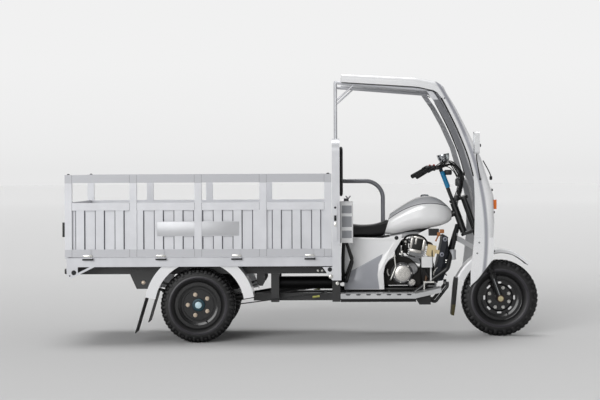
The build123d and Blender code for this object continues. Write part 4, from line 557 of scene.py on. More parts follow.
bead = 0.1700  # the rims' radius where the tyres sit
front_radius, rear_radius = 0.292, 0.277
front_axle = Vector((1.500, 0, front_radius))
rear_axle = {"right": Vector((-0.780, -0.450, rear_radius)),
             "left": Vector((-0.780, 0.450, rear_radius))}
wheels = (("front", "front_wheel", front_axle, front_radius, 0.145, 46),
          ("rear_right", "rear_wheel_right", rear_axle["right"], rear_radius, 0.130, 54),
          ("rear_left", "rear_wheel_left", rear_axle["left"], rear_radius, 0.130, 54))
both_sides = (("right", -1), ("left", 1))
for wheel in wheels:
    block_tyre(*wheel)


# Wheel fittings: plated nuts hold each pressed steel wheel, the front disc has an embossed ring,
# the rear hubs wear a pale blue plastic cap in a dark teal ring, and each rim has its valve.
brass = finish("yellow_passivated_steel", ("#B5AA84", "#D6CCA8"), 0.5, (0.3, 0.45), 2, 0.04,
               patch=12)
tan_zinc = finish("tan_passivated_steel", ("#CDBBA6", "#E2D3C0"), 0.5, (0.3, 0.45), 2, 0.04,
                  patch=12)
cap_blue = finish("pale_blue_plastic_cap", ("#BFE3F0", "#D6F0F8"), 0.0, (0.2, 0.3), 2, 0.02)
ring_teal = finish("dark_teal_ring", ("#0E2A33", "#16404C"), 0.2, (0.25, 0.4), 2, 0.03)


def nut(centre, axis, across, tall):
    """A six-sided nut with a washer under it and the end of its stud showing."""
    up = Vector(axis).normalized()
    turn = up.to_track_quat("Z", "Y").to_euler()
    bpy.ops.mesh.primitive_cylinder_add(vertices=6, radius=across / 2, depth=tall,
                                        location=Vector(centre) + up * tall / 2, rotation=turn)
    piece = bpy.context.object
    bpy.ops.object.transform_apply(location=True, rotation=True, scale=True)
    bpy.ops.object.mode_set(mode="EDIT")
    bpy.ops.mesh.select_all(action="DESELECT")
    shape = bmesh.from_edit_mesh(piece.data)
    for face in shape.faces:
        face.select_set(face.normal.dot(up) > 0.9)
    bmesh.update_edit_mesh(piece.data)
    bpy.ops.mesh.inset(thickness=across * 0.22, depth=0)
    bpy.ops.mesh.extrude_region_move(TRANSFORM_OT_translate={"value": up * tall * 0.35})
    bpy.ops.object.mode_set(mode="OBJECT")
    worked(piece, soften(across * 0.04, 1))
    washer = lathe([(0, 0.0006), (across * 0.62, 0.0006), (across * 0.66, 0.0012),
                    (across * 0.62, 0.0026), (0, 0.0026)], centre, axis, steps=20)
    return joined([piece, washer])


for label, sign in both_sides:
    face = front_axle + Vector((0, sign * 0.0026, 0))
    one = nut(face + Vector((0.080, 0, 0)), (0, sign, 0), 0.021, 0.014)
    repeat(one, [about(front_axle, math.tau * (n + 0.5) / 8) for n in range(8)])
    settle("front_wheel_nuts_" + label, "front_wheel", zinc)
    ring = [(0.096, 0.0), (0.098, 0.003), (0.101, 0.0042), (0.104, 0.003), (0.106, 0.0)]
    lathe([(r, sign * (y + 0.0022)) for r, y in ring], front_axle, steps=72)
    settle("front_disc_ring_" + label, "front_wheel", wheel_black)
    lip = [(0.1665, 0.0465), (0.1685, 0.0492), (0.1715, 0.0500), (0.1738, 0.0482),
           (0.1725, 0.0462)]
    lathe([(r, sign * y) for r, y in lip], front_axle, steps=96, closed=True)
    settle("front_rim_lip_" + label, "front_wheel", wheel_black)

for side, sign in both_sides:
    hub = rear_axle[side]
    face = hub + Vector((0, sign * (-0.022 + 0.005), 0))
    one = nut(face + Vector((0.080, 0, 0)), (0, sign, 0), 0.024, 0.016)
    repeat(one, [about(hub, math.tau * (n + 0.5) / 5) for n in range(5)])
    settle("rear_wheel_nuts_" + side, "rear_wheel_" + side, tan_zinc)
    cap = [(0.0252, 0.001), (0.0258, 0.018), (0.0258, 0.027), (0.0240, 0.0325), (0.0150, 0.0345),
           (0.0, 0.0350)]
    lathe([(r, sign * y) for r, y in cap], face, steps=48)
    settle("hub_cap_" + side, "rear_wheel_" + side, cap_blue)
    band = [(0.0262, 0.0056), (0.0268, 0.0120), (0.0360, 0.0128), (0.0450, 0.0110),
            (0.0485, 0.0056)]
    lathe([(r, sign * y) for r, y in band], face, steps=48, closed=True)
    settle("hub_ring_" + side, "rear_wheel_" + side, ring_teal)
    for radius, deep, mark in ((0.115, 0.0, "inner"), (0.172, 0.0482, "outer")):
        rise = 0.0022 if deep else 0.003
        ring = [(radius - rise, 0), (radius - rise / 2, rise), (radius + rise / 2, rise),
                (radius + rise, 0)]
        base = deep if deep else -0.0165
        lathe([(r, sign * (y + base)) for r, y in ring], hub, steps=96, closed=True)
        settle("rear_rim_ring_" + mark + "_" + side, "rear_wheel_" + side, wheel_black)

for name, body, centre, *_ in wheels:
    sign = 1 if name == "rear_left" else -1
    foot = centre + Vector((0, sign * 0.030, 0))
    stem = [(0.0052, 0.0), (0.0052, 0.010), (0.0034, 0.013), (0.0034, 0.024), (0.0045, 0.0245),
            (0.0045, 0.034), (0.0030, 0.036), (0.0, 0.036)]
    lathe(stem, foot + Vector((0.060, 0, -0.118)), axis=(0, sign, 0), steps=16)
    settle("valve_" + name, body, rubber)


# The rider's seat and back pad: moulded foam under grained black vinyl, drawn tight and without
# a seam.

def pad(name, node, body, shrink, cap):
    """A foam pad grown from its solid: remeshed, drawn in and blown out by simulation.

    Shrink is how far it is drawn in and cap how far it may then swell, in metres."""
    piece = worked(placed(name, nodes[node].data.copy()), merge(0.0002), outwards)
    shaped(piece, "REMESH", mode="VOXEL", voxel_size=0.0055)
    shaped(piece, "SMOOTH", factor=0.5, iterations=6)
    shaped(piece, "DISPLACE", strength=-shrink, mid_level=0.0)
    before = [v.co.copy() for v in piece.data.vertices]
    cloth = piece.modifiers.new("blow", "CLOTH")
    cloth.settings.use_pressure = True
    cloth.settings.uniform_pressure_force = 4.0
    cloth.settings.effector_weights.gravity = 0.0
    cloth.settings.quality = 6
    for step in range(1, 21):
        bpy.context.scene.frame_set(step)
    bpy.ops.object.modifier_apply(modifier=cloth.name)
    for vertex, start in zip(piece.data.vertices, before):
        move = vertex.co - start
        if move.length > cap:
            vertex.co = start + move * (cap / move.length)
    bpy.context.scene.frame_set(1)
    shaped(piece, "SUBSURF", levels=1, render_levels=1)
    piece.data.materials.clear()
    piece.data.materials.append(vinyl)
    bpy.ops.object.shade_smooth()
    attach(piece, body)
    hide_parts(node)


pad("seat_pad", "seat", "chassis", 0.006, 0.008)
pad("back_pad", "backrest_pad", "chassis", 0.005, 0.007)


# Gate fittings: plated hinge clips along each side gate's rail with dark pins below, cap screws on
# the corner posts, weld seams beside every post, and a bare blank plate.

def slab(low, high, edge):
    """A block between two opposite corners, in any order, with its edges bevelled."""
    corners = list(zip(low, high))
    low, high = Vector([min(pair) for pair in corners]), Vector([max(pair) for pair in corners])
    bpy.ops.mesh.primitive_cube_add(size=1, location=(low + high) / 2)
    bpy.context.object.scale = high - low
    bpy.ops.object.transform_apply(location=True, rotation=True, scale=True)
    return worked(bpy.context.object, soften(edge))


def screw(centre, axis, radius, tall):
    """A round headed screw on a washer."""
    shape = ((0, 0), (1.35, 0), (1.4, 0.18), (1.05, 0.25), (1, 0.7), (0.75, 1), (0.3, 1),
             (0.25, 0.7), (0, 0.7))
    return lathe([(radius * r, tall * y) for r, y in shape], centre, axis, steps=16)


dark_steel = finish("blackened_steel", ("#17181A", "#26282B"), 0.4, (0.3, 0.45), 2, 0.05, patch=20)
hinge_x = (-1.576, -1.039, -0.483, 0.054)
post_x = (-1.719, -1.2427, -0.7664, -0.290, 0.1863)
weld_grey = finish("weld_seam_grey", ("#7E7F84", "#8E8F93"), 0.2, (0.45, 0.6), 2, 0.05)
plate_grey = finish("satin_blank_plate", ("#C6C7CA", "#D0D1D4"), 0.35, (0.34, 0.46), 1.5, 0.03)
rail_face, post_face = 0.6457, 0.6490  # how far out the gates' rails and headboard's posts lie
seam_y, seam_off = 0.6402, 0.0262
for side, sign in both_sides:
    clips = [slab((x - 0.034, sign * rail_face, 0.6470), (x + 0.034, sign * post_face, 0.6600),
                  0.001) for x in hinge_x]
    group(clips, "hinge_clips_" + side, "side_gate_" + side, zinc)
    pins = [lathe([(0, -0.040), (0.0055, -0.040), (0.0062, -0.038), (0.0062, 0.038),
                   (0.0055, 0.040), (0, 0.040)], (x, sign * 0.650, 0.6275), (1, 0, 0), steps=12)
            for x in hinge_x]
    group(pins, "hinge_pins_" + side, "chassis", dark_steel)
    caps = [screw((x, sign * 0.626, 1.2500), (0, 0, 1), 0.009, 0.007)
            for x in (post_x[0], post_x[-1])]
    group(caps, "post_caps_" + side, "side_gate_" + side, dark_steel)
    beside = [x + edge for x in post_x for edge in (-seam_off, seam_off)][1:-1]
    seams = [slab((x - 0.0012, sign * seam_y - 0.0004, low),
                  (x + 0.0012, sign * seam_y + 0.0004, high), 0.0002)
             for x in beside
             for low, high in ((0.6460, 0.7005), (0.9885, 1.0430), (1.1915, 1.2480))]
    group(seams, "gate_weld_seams_" + side, "side_gate_" + side, weld_grey)
    slab((-1.0665, sign * 0.6345 - 0.0010, 0.7990), (-0.4665, sign * 0.6345 + 0.0010, 0.9030),
         0.0008)
    settle("blank_plate_" + side, "side_gate_" + side, plate_grey)


# The bed's lower corners: black cap screws through the brackets, a plated knob at the headboard's
# heel, and the small bolts of the black member behind it.
bits = []
bracket_face, heel_face = 0.6245, 0.6452  # the floor's brackets and the headboard's heel
for sign in (-1, 1):
    out = (0, sign, 0)
    bits += [screw((-1.682, sign * bracket_face, 0.531), out, 0.013, 0.008),
             screw((0.200, sign * heel_face, 0.548), out, 0.012, 0.007),
             screw((-1.712, sign * bracket_face, 0.508), out, 0.004, 0.004),
             slab((0.232, sign * post_face, 0.905), (0.250, sign * 0.6560, 0.945), 0.002),
             screw((0.241, sign * 0.6492, 1.002), out, 0.006, 0.006)]
group(bits, "bed_corner_screws", "chassis", dark_steel)
bits = []
for sign in (-1, 1):
    out = (0, sign, 0)
    bits += [lathe([(0, 0), (0.013, 0), (0.016, 0.003), (0.016, 0.007), (0.011, 0.010),
                    (0, 0.0105)], (0.206, sign * heel_face, 0.498), out, steps=24),
             slab((0.233, sign * post_face, 0.862), (0.250, sign * 0.6545, 0.896), 0.002),
             screw((0.110, sign * 0.3515, 0.524), out, 0.006, 0.005),
             screw((0.141, sign * 0.3515, 0.524), out, 0.006, 0.005),
             lathe([(0, 0), (0.011, 0), (0.014, 0.004), (0.013, 0.012), (0, 0.014)],
                   (0.256, sign * 0.3455, 0.428), out, steps=24)]
group(bits, "bed_corner_knobs", "chassis", zinc)


# The side panels' trim: a raised bright lip runs under the seat and down the front edge, over a
# mid grey lower field, with one dark screw near the top.
lip_paint = finish("bright_lacquered_lip", ("#FAFAFA", "#FDFDFD"), 0.0, (0.2, 0.3), 1.2, 0.02,
                   coat=0.6)
field_grey = finish("grey_lower_field", ("#AEB0B7", "#B7B9C0"), 0.1, (0.3, 0.42), 1.2, 0.02,
                    coat=0.3)
lip_edge = [(0.746, 0.786), (0.739, 0.745), (0.690, 0.668), (0.621, 0.587), (0.602, 0.491),
            (0.608, 0.373), (0.578, 0.373), (0.563, 0.480), (0.572, 0.562), (0.600, 0.618),
            (0.646, 0.672), (0.676, 0.722), (0.672, 0.742), (0.590, 0.742), (0.320, 0.752),
            (0.320, 0.768), (0.605, 0.759), (0.700, 0.774)]
field_edge = [(0.312, 0.374), (0.574, 0.374), (0.560, 0.480), (0.568, 0.560), (0.592, 0.612),
              (0.600, 0.640), (0.312, 0.486)]
for side, sign in both_sides:
    plate([(x, sign * 0.2008, z) for x, z in lip_edge], 0.0032, 0.0012)
    settle("side_panel_lip_" + side, "chassis", lip_paint)
    plate([(x, sign * 0.2002, z) for x, z in field_edge], 0.0012, 0.0003)
    settle("side_panel_field_" + side, "chassis", field_grey)
    screw((0.705, sign * 0.2022, 0.761), (0, sign, 0), 0.011, 0.004)
    settle("side_panel_screw_" + side, "chassis", dark_steel)


# The tank's cap: one low chromed steel lid with a rolled rim, turned down onto the short neck on
# the tank's top.
lathe([(0, 0.030), (0.018, 0.029), (0.028, 0.026), (0.033, 0.018), (0.034, 0.004), (0.040, 0.002),
       (0.041, -0.006), (0.034, -0.010)], (0.930, 0, 1.0590), (0, 0, 1), steps=48)
settle("tank_cap", "chassis", chrome)


# The canopy's edging: black rubber U-section pressed over the pillars' rear edges, the shield's
# cut and the foot, with cap screws through the moulding. A thin dark strand along the roof's edge
# is painted shade, where the roof's underside is in shade.

def strand(name, points, radius, rounding, steps):
    """A round curve that bends smoothly between points."""
    curve = bpy.data.curves.new(name, "CURVE")
    curve.dimensions = "3D"
    curve.bevel_depth = radius
    curve.bevel_resolution = rounding
    curve.resolution_u = steps
    spline = curve.splines.new("NURBS")
    spline.points.add(len(points) - 1)
    for point, place in zip(spline.points, points):
        point.co = (*place, 1)
    spline.order_u = 3
    spline.use_endpoint_u = True
    made = bpy.data.objects.new(name, curve)
    bpy.context.collection.objects.link(made)
    return made


def pipe(points, radius):
    """A round pipe or hose along a smooth curve, as a mesh with closed ends."""
    made = strand("pipe", points, radius, 3, 8)
    made.data.use_fill_caps = True
    mesh = bpy.data.meshes.new_from_object(made)
    bpy.data.objects.remove(made)
    return worked(placed("pipe", mesh), merge(0.00002), outwards)


rear_edge = [(1.036, 1.812), (1.118, 1.657), (1.186, 1.502), (1.246, 1.344), (1.271, 1.228)]
foot_edge = [(1.4135, 0.594), (1.376, 0.545), (1.338, 0.496), (1.304, 0.451), (1.268, 0.421),
             (1.252, 0.405)]
grey_screws = finish("grey_screw", ("#6E6F72", "#85868A"), 0.5, (0.3, 0.45), 2, 0.03)
# Painted shade: the roof's line is a dark strand where the roof's underside is in shade.
roof_shade_line = [(0.291, 1.930), (0.500, 1.9165), (0.720, 1.903), (0.915, 1.8895), (1.000, 1.850)]
for side, sign in both_sides:
    trims = [pipe([(x, sign * 0.4295, z) for x, z in edge], radius)
             for edge, radius in ((rear_edge, 0.0055), (foot_edge, 0.0060), (roof_shade_line, 0.0035))]
    group(trims, "canopy_rubber_edge_and_roof_shade_line_" + side, "chassis", rubber)
    heads = [screw((x, sign * 0.4303, z), (0, sign, 0), 0.0048, 0.003)
             for x, z in ((1.314, 0.732), (1.299, 0.652), (1.060, 1.810))]
    group(heads, "canopy_screws_" + side, "chassis", grey_screws)
    for level, x, z in (("high", 1.412, 1.124), ("low", 1.425, 0.957)):
        screw((x, sign * 0.372, z), (0.98, sign * 0.1, 0.05), 0.0085, 0.011)
        settle("indicator_bolt_%s_%s" % (side, level), "chassis", dark_steel)


# The head lamp: a chrome ring round a clear domed lens in front of a bright pressed bowl, set in
# the vehicle's face.
lamp_z = 1.015
lathe([(0.083, -0.004), (0.086, 0.002), (0.084, 0.009), (0.077, 0.0125), (0.0725, 0.010),
       (0.0725, -0.004)], (1.440, 0, lamp_z), (1, 0, 0), steps=64, closed=True)
settle("head_lamp_ring", "chassis", chrome)
lathe([(0.0732, 0.0), (0.0700, 0.0046), (0.0560, 0.0076), (0.0380, 0.0092), (0.0, 0.0100)],
      (1.4502, 0, lamp_z), (1, 0, 0), steps=48)
settle("head_lamp_lens", "chassis", clear)
bowl_tone = finish("bright_lamp_bowl", ("#D5D7DA", "#E4E6E8"), 0.9, (0.12, 0.2), 3, 0.02)
lathe([(0.0725, 0.0006), (0.060, 0.0010), (0.030, 0.0014), (0.0, 0.0016)], (1.4503, 0, lamp_z),
      (1, 0, 0), steps=48)
settle("head_lamp_bowl", "chassis", bowl_tone)


# Rear view mirrors: silvered glass in a black gasket on the rider's side of each case, and a dark
# ball joint at the back.
silvered = finish("silvered_mirror_glass", ("#DDE2E4", "#E6EAEC"), 1.0, (0.02, 0.05), 8, 0.0)
mirror_z = 1.475
for side, sign in both_sides:
    middle = sign * 0.560
    edge = [(-0.047, -0.060), (-0.040, -0.071), (0.040, -0.071), (0.047, -0.060), (0.047, 0.060),
            (0.040, 0.071), (-0.040, 0.071), (-0.047, 0.060)]
    plate([(1.2662, middle + y, mirror_z + z) for y, z in edge], 0.0025, 0.0008, axis=(1, 0, 0))
    settle("mirror_glass_" + side, "chassis", silvered)
    wide = [(y * 1.09, z * 1.06) for y, z in edge]
    plate([(1.2675, middle + y, mirror_z + z) for y, z in wide], 0.0030, 0.0010, axis=(1, 0, 0))
    settle("mirror_gasket_" + side, "chassis", rubber)
    lathe([(0, 0.014), (0.009, 0.012), (0.013, 0.006), (0.014, 0), (0.010, -0.004)],
          (1.3070, middle, 1.455), (1, 0, 0), steps=24)
    settle("mirror_ball_" + side, "chassis", dark_steel)


# Engine covers: the cast cases carry polished round covers on both sides, a large one over the
# clutch ringed with seven cap screws and a small one over the oil pump held by three.
polished = finish("polished_cast_cover", ("#C6C3BE", "#DAD7D2"), 0.55, (0.2, 0.34), 2.0, 0.06,
                  patch=40, coat=0.3)
greasy = finish("greasy_black_casting", ("#0E0E0D", "#1B1A18"), 0.2, (0.3, 0.55), 2.5, 0.2,
                patch=30)
case_half = 0.1512  # half the width over the cases
clutch_x, clutch_z, pump_x, pump_z = 0.752, 0.489, 0.826, 0.420
for side, sign in both_sides:
    lathe([(0.0, sign * 0.0036), (0.030, sign * 0.0034), (0.050, sign * 0.0024),
           (0.057, sign * 0.0006), (0.060, sign * -0.0006)],
          (clutch_x, sign * case_half, clutch_z), (0, 1, 0), steps=64)
    settle("clutch_cover_" + side, "chassis", polished)
    one = screw((clutch_x, sign * (case_half - 0.0016), clutch_z), (0, sign, 0), 0.0042, 0.0042)
    one.data.transform(Matrix.Translation((0.068, 0, 0)))
    repeat(one, [about((clutch_x, 0, clutch_z), math.tau * n / 7) for n in range(7)])
    settle("clutch_screws_" + side, "chassis", zinc)
    lathe([(0.0, sign * 0.0050), (0.010, sign * 0.0048), (0.013, sign * 0.0020),
           (0.022, sign * 0.0016), (0.024, 0.0)], (pump_x, sign * (case_half - 0.016), pump_z),
          (0, 1, 0), steps=40)
    settle("oil_pump_cover_" + side, "chassis", polished)
    heads = [screw((pump_x + 0.017 * math.cos(a), sign * (case_half - 0.015),
                    pump_z + 0.017 * math.sin(a)), (0, sign, 0), 0.003, 0.003)
             for a in (0.4, 2.5, 4.6)]
    group(heads, "oil_pump_screws_" + side, "chassis", dark_steel)


# Engine bay clutter: the head wears bright ribs and a black breather hose, a carburettor sits
# behind it on a rubber boot, and hoses, a fan shroud and a relay can fill the gap to the radiator.
leaning = about((0.869, 0, 0.690), 0.2)
ribs = []
for x0, x1, z0, z1 in ((0.812, 0.829, 0.668, 0.752), (0.845, 0.857, 0.704, 0.757),
                       (0.906, 0.926, 0.664, 0.752), (0.815, 0.905, 0.640, 0.664),
                       (0.826, 0.915, 0.752, 0.764)):
    for sign in (-1, 1):
        rib = slab((x0, sign * 0.0655, z0), (x1, sign * 0.0745, z1), 0.0018)
        rib.data.transform(leaning)
        ribs.append(rib)
group(ribs, "head_ribs", "chassis", polished)
darks = []
for sign in (-1, 1):
    disc = lathe([(0, 0.006), (0.012, 0.006), (0.015, 0.003), (0.022, 0.002), (0.024, -0.001)],
                 (0.882, sign * 0.0665, 0.712), (0, sign, 0), steps=32)
    disc.data.transform(leaning)
    back = slab((0.829, sign * 0.0660, 0.664), (0.906, sign * 0.0700, 0.752), 0.001)
    back.data.transform(leaning)
    darks += [disc, back]
group(darks, "head_recess", "chassis", greasy)

carb = [slab((0.756, -0.055, 0.676), (0.800, 0.030, 0.746), 0.006),
        slab((0.766, -0.075, 0.702), (0.792, -0.050, 0.736), 0.004),
        lathe([(0, -0.030), (0.016, -0.030), (0.022, -0.024), (0.022, 0), (0.026, 0.004),
               (0.026, 0.010), (0, 0.010)], (0.778, -0.020, 0.668), (0, 0, 1), steps=32),
        lathe([(0.019, 0), (0.021, 0.006), (0.019, 0.012), (0.021, 0.018), (0.019, 0.024),
               (0.021, 0.030), (0.019, 0.036), (0.024, 0.040), (0.024, 0.060)],
              (0.757, -0.015, 0.716), (-1, 0, 0), steps=32),
        slab((0.700, -0.110, 0.610), (0.742, 0.060, 0.748), 0.012),
        pipe([(0.770, -0.050, 0.742), (0.780, -0.068, 0.776), (0.869, -0.074, 0.782),
              (0.940, -0.072, 0.748), (0.952, -0.064, 0.692)], 0.0075),
        pipe([(0.775, -0.078, 0.716), (0.752, -0.098, 0.700), (0.748, -0.108, 0.640),
              (0.764, -0.112, 0.612)], 0.0065),
        pipe([(0.792, -0.078, 0.664), (0.770, -0.100, 0.650), (0.800, -0.118, 0.622),
              (0.850, -0.120, 0.612)], 0.0055)]
group(carb, "carburettor_and_boot", "chassis", greasy)
bits = [slab((0.728, -0.124, 0.628), (0.752, -0.112, 0.640), 0.002),
        slab((0.744, -0.124, 0.636), (0.756, -0.112, 0.660), 0.002),
        screw((0.779, -0.0755, 0.726), (0, -1, 0), 0.006, 0.004),
        screw((0.779, -0.0755, 0.708), (0, -1, 0), 0.004, 0.004),
        pipe([(1.018, -0.134, 0.530), (1.002, -0.139, 0.520), (0.990, -0.139, 0.494),
              (0.988, -0.136, 0.462)], 0.0040),
        pipe([(0.640, -0.118, 0.520), (0.632, -0.130, 0.492), (0.650, -0.136, 0.470)], 0.0060)]
group(bits, "bright_unions_and_pipes", "chassis", zinc)
leads = [pipe([(0.905, -0.100, 0.560), (0.925, -0.128, 0.500), (0.960, -0.130, 0.440),
               (1.020, -0.120, 0.420)], 0.0085),
         pipe([(0.884, -0.110, 0.600), (0.902, -0.128, 0.560), (0.895, -0.130, 0.500),
               (0.920, -0.120, 0.420)], 0.0060),
         pipe([(1.030, -0.128, 0.540), (1.060, -0.132, 0.500), (1.090, -0.126, 0.470)], 0.0045),
         pipe([(0.985, -0.118, 0.700), (0.975, -0.134, 0.660), (0.985, -0.134, 0.560),
               (0.975, -0.125, 0.470)], 0.0050),
         slab((0.880, -0.060, 0.400), (0.985, 0.060, 0.440), 0.006)]
group(leads, "engine_hoses", "chassis", rubber)
plate([(1.066, 0, 0.784), (1.102, 0, 0.764), (1.106, 0, 0.640), (1.094, 0, 0.520),
       (1.062, 0, 0.430), (1.012, 0, 0.424), (1.040, 0, 0.600)], 0.196, 0.006)
settle("fan_shroud", "chassis", core_black)
grommet_grey = finish("grey_rubber_grommet", ("#8A8C98", "#A0A2AC"), 0.1, (0.35, 0.5), 2, 0.04)
washers = []
for x, z in ((1.078, 0.747), (1.053, 0.630)):
    washers.append(lathe([(0.007, 0.0), (0.009, 0.005), (0.014, 0.004), (0.0175, 0.0)],
                         (x, -0.1313, z), (0, -1, 0), steps=32))
group(washers, "radiator_grommets", "chassis", grommet_grey)
relay_grey = finish("grey_relay_case", ("#A9ABAF", "#BBBDC0"), 0.1, (0.3, 0.45), 1.5, 0.03)
lathe([(0, 0), (0.020, 0), (0.024, 0.004), (0.024, 0.074), (0.020, 0.078), (0, 0.078)],
      (1.138, -0.098, 0.590), (0, 0, 1), steps=36)
settle("relay_can", "chassis", relay_grey)
clips = [slab((1.080, -0.132, 0.566), (1.116, -0.126, 0.574), 0.001),
         slab((1.080, -0.132, 0.582), (1.116, -0.126, 0.590), 0.001)]
group(clips, "relay_clips", "chassis", zinc)
orange_tape = finish("orange_brown_tape", ("#9A5F30", "#C07C42"), 0.0, (0.45, 0.6), 3, 0.1,
                     patch=12)
tag = [slab((1.018, -0.128, 0.770), (1.042, -0.112, 0.800), 0.004),
       slab((1.036, -0.128, 0.792), (1.072, -0.112, 0.822), 0.005),
       pipe([(1.030, -0.120, 0.780), (1.016, -0.122, 0.755), (1.006, -0.124, 0.730)], 0.0060)]
group(tag, "wrapped_connector", "chassis", orange_tape)


# The engine's mounts: two black steel plates carry the crankcase's nose between the down tubes,
# over a wide flat bar under the cases.
mounts = [plate([(0.893, y, 0.392), (1.000, y, 0.392), (1.004, y, 0.470), (0.995, y, 0.560),
                 (0.965, y, 0.604), (0.930, y, 0.600), (0.893, y, 0.540)], 0.004, 0.001)
          for y in (-0.062, 0.062)]
mounts.append(slab((0.620, -0.140, 0.362), (0.990, 0.140, 0.379), 0.003))
group(mounts, "engine_mount_plates", "chassis", greasy)


# Front wheel's fork details: a chrome line down each black slider as a painted highlight, standing
# in for the shine along its glossy tube, the clamps over it, and a brass-coloured axle nut on a
# rust-toned washer.
along = Vector((-0.3338, 0, 0.9426))
trims, clamps = [], []
leg_y, highlight_y = 0.108, 0.1325
for sign in (-1, 1):
    high, low = Vector((1.4378, sign * highlight_y, 0.4738)), Vector((1.4929, sign * highlight_y, 0.3182))
    trims.append(pipe([high, (high + low) / 2, low], 0.0042))
    for step in (0.0, 0.026):
        clamps.append(lathe([(0.0245, -0.006), (0.0310, -0.005), (0.0325, 0), (0.0310, 0.005),
                             (0.0245, 0.006)],
                            Vector((1.4342, sign * leg_y, 0.4778)) + along * step, along,
                            steps=40, closed=True))
# Painted highlight: the chrome strips stand in for the shine down each slider.
group(trims, "slider_highlight_strips", "steering", chrome)
group(clamps, "slider_clamps", "steering", rubber)
rusty = finish("rust_toned_washer", ("#3E2A20", "#57402F"), 0.4, (0.4, 0.6), 2, 0.06, patch=10)
nuts, rings = [], []
for sign in (-1, 1):
    end = (front_axle.x, sign * 0.1335, front_radius)
    nuts.append(nut(end, (0, sign, 0), 0.032, 0.012))
    end = (front_axle.x, sign * 0.1318, front_radius)
    rings.append(lathe([(0.010, 0.0), (0.026, 0.0005), (0.027, 0.002), (0.025, 0.0035),
                        (0.010, 0.0035)], end, (0, sign, 0), steps=36, closed=True))
group(nuts, "front_axle_nuts", "steering", brass)
group(rings, "front_axle_washers", "steering", rusty)


# Sidewall bands: a smooth ring on both faces of each tyre, outside the bead, a little shinier than
# the rubber round it and painted paler as a painted highlight on the flank's bulge.
sidewall = finish("painted_highlight_sidewall", ("#2E2C31", "#3A383D"), 0.0, (0.28, 0.4), 3, 0.03)
for name, body, centre, radius, width, _ in wheels:
    half, tall = width / 2, radius - bead
    for side, sign in both_sides:
        ring = [(bead + tall * up, sign * (half * out + 0.0006)) for up, out in
                ((0.28, 0.95), (0.33, 0.975), (0.345, 1.0), (0.375, 1.0), (0.39, 0.985),
                 (0.46, 0.985))]
        lathe(ring, centre, steps=104)
        settle("sidewall_band_%s_%s" % (name, side), body, sidewall, smooth=50)


# The front mudguard: one silver moulding, crowned across its width, narrow over the wheel's front
# and deeper behind the fork, with a dark beaded edge. Two bosses and screws hold it to the legs.
guard_half = 0.0820
arcs = [(50, 0.352, 0.022), (62, 0.364, 0.026), (75, 0.377, 0.029), (87, 0.381, 0.032),
        (97, 0.382, 0.036), (104, 0.382, 0.050), (112, 0.382, 0.060), (120, 0.381, 0.064),
        (131, 0.379, 0.066), (143, 0.376, 0.068), (155, 0.372, 0.070)]
across = [(-guard_half, 1.0, 0), (-0.0822, 0.5, 0), (-0.0815, 0, 0.008), (-0.0760, 0, 0.002),
          (-0.0500, 0, -0.001), (0, 0, -0.003), (0.0500, 0, -0.001), (0.0760, 0, 0.002),
          (0.0815, 0, 0.008), (0.0822, 0.5, 0), (guard_half, 1.0, 0)]


def round_wheel(degrees, radius, y):
    """A point this far round and out from the front axle."""
    turn = math.radians(degrees)
    return (front_axle.x + radius * math.cos(turn), y, front_radius + radius * math.sin(turn))


points = [round_wheel(degrees, radius - skirt * share - drop, y)
          for degrees, radius, skirt in arcs for y, share, drop in across]
row = len(across)
faces = [(i, i + 1, i + row + 1, i + row)
         for n in range(len(arcs) - 1) for i in range(n * row, n * row + row - 1)]
mesh = bpy.data.meshes.new("guard")
mesh.from_pydata(points, [], faces)
guard = worked(placed("guard", mesh), outwards)
shaped(guard, "SUBSURF", levels=2, render_levels=2)
shaped(guard, "SOLIDIFY", thickness=0.003, offset=-1)
settle("front_guard_moulding", "steering", lacquer_silver, smooth=50)
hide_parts("front_mudguard")
edges = []
for sign in (-1, 1):
    line = [round_wheel(degrees, radius - skirt, sign * guard_half)
            for degrees, radius, skirt in arcs]
    edges.append(pipe(line, 0.0024))
    edges.append(screw((1.452, sign * 0.0822, 0.6525), (0, sign, 0), 0.0075, 0.005))
group(edges, "front_guard_bead", "steering", rubber)
bosses = [lathe([(0, 0.0765), (0.011, 0.0765), (0.011, 0.0850), (0, 0.0850)],
                (1.3865, 0, 0.6125), (0, sign, 0), steps=28) for sign in (-1, 1)]
group(bosses, "front_guard_bosses", "steering", dark_steel)


# The front mud flap: a black rubber sheet with turned-in side flanges, hung behind the wheel and
# muddied olive at its foot.
flap_rubber = finish("muddied_flap_rubber", ("#121211", "#1C1B18"), 0.0, (0.5, 0.7), 2.5, 0.15)
painted(flap_rubber, "#4A4320", ("Z", 0.14, 0.245))
sides = [(1.1560, 0.4480), (1.1480, 0.4000), (1.1400, 0.3200), (1.1330, 0.2400), (1.1270, 0.1640),
         (1.1480, 0.1600), (1.1600, 0.2400), (1.1680, 0.3200), (1.1760, 0.4000), (1.1800, 0.4560)]
flanges = [plate([(x, sign * 0.0795, z) for x, z in sides], 0.0045, 0.0012) for sign in (-1, 1)]
sheet = [(1.1560, 0.4480), (1.1400, 0.3200), (1.1270, 0.1640), (1.1320, 0.1635), (1.1450, 0.3200),
         (1.1610, 0.4480)]
group(flanges + [plate([(x, 0, z) for x, z in sheet], 0.162, 0.001)], "front_flap_rubber",
      "steering", flap_rubber)
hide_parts("front_mud_flap")


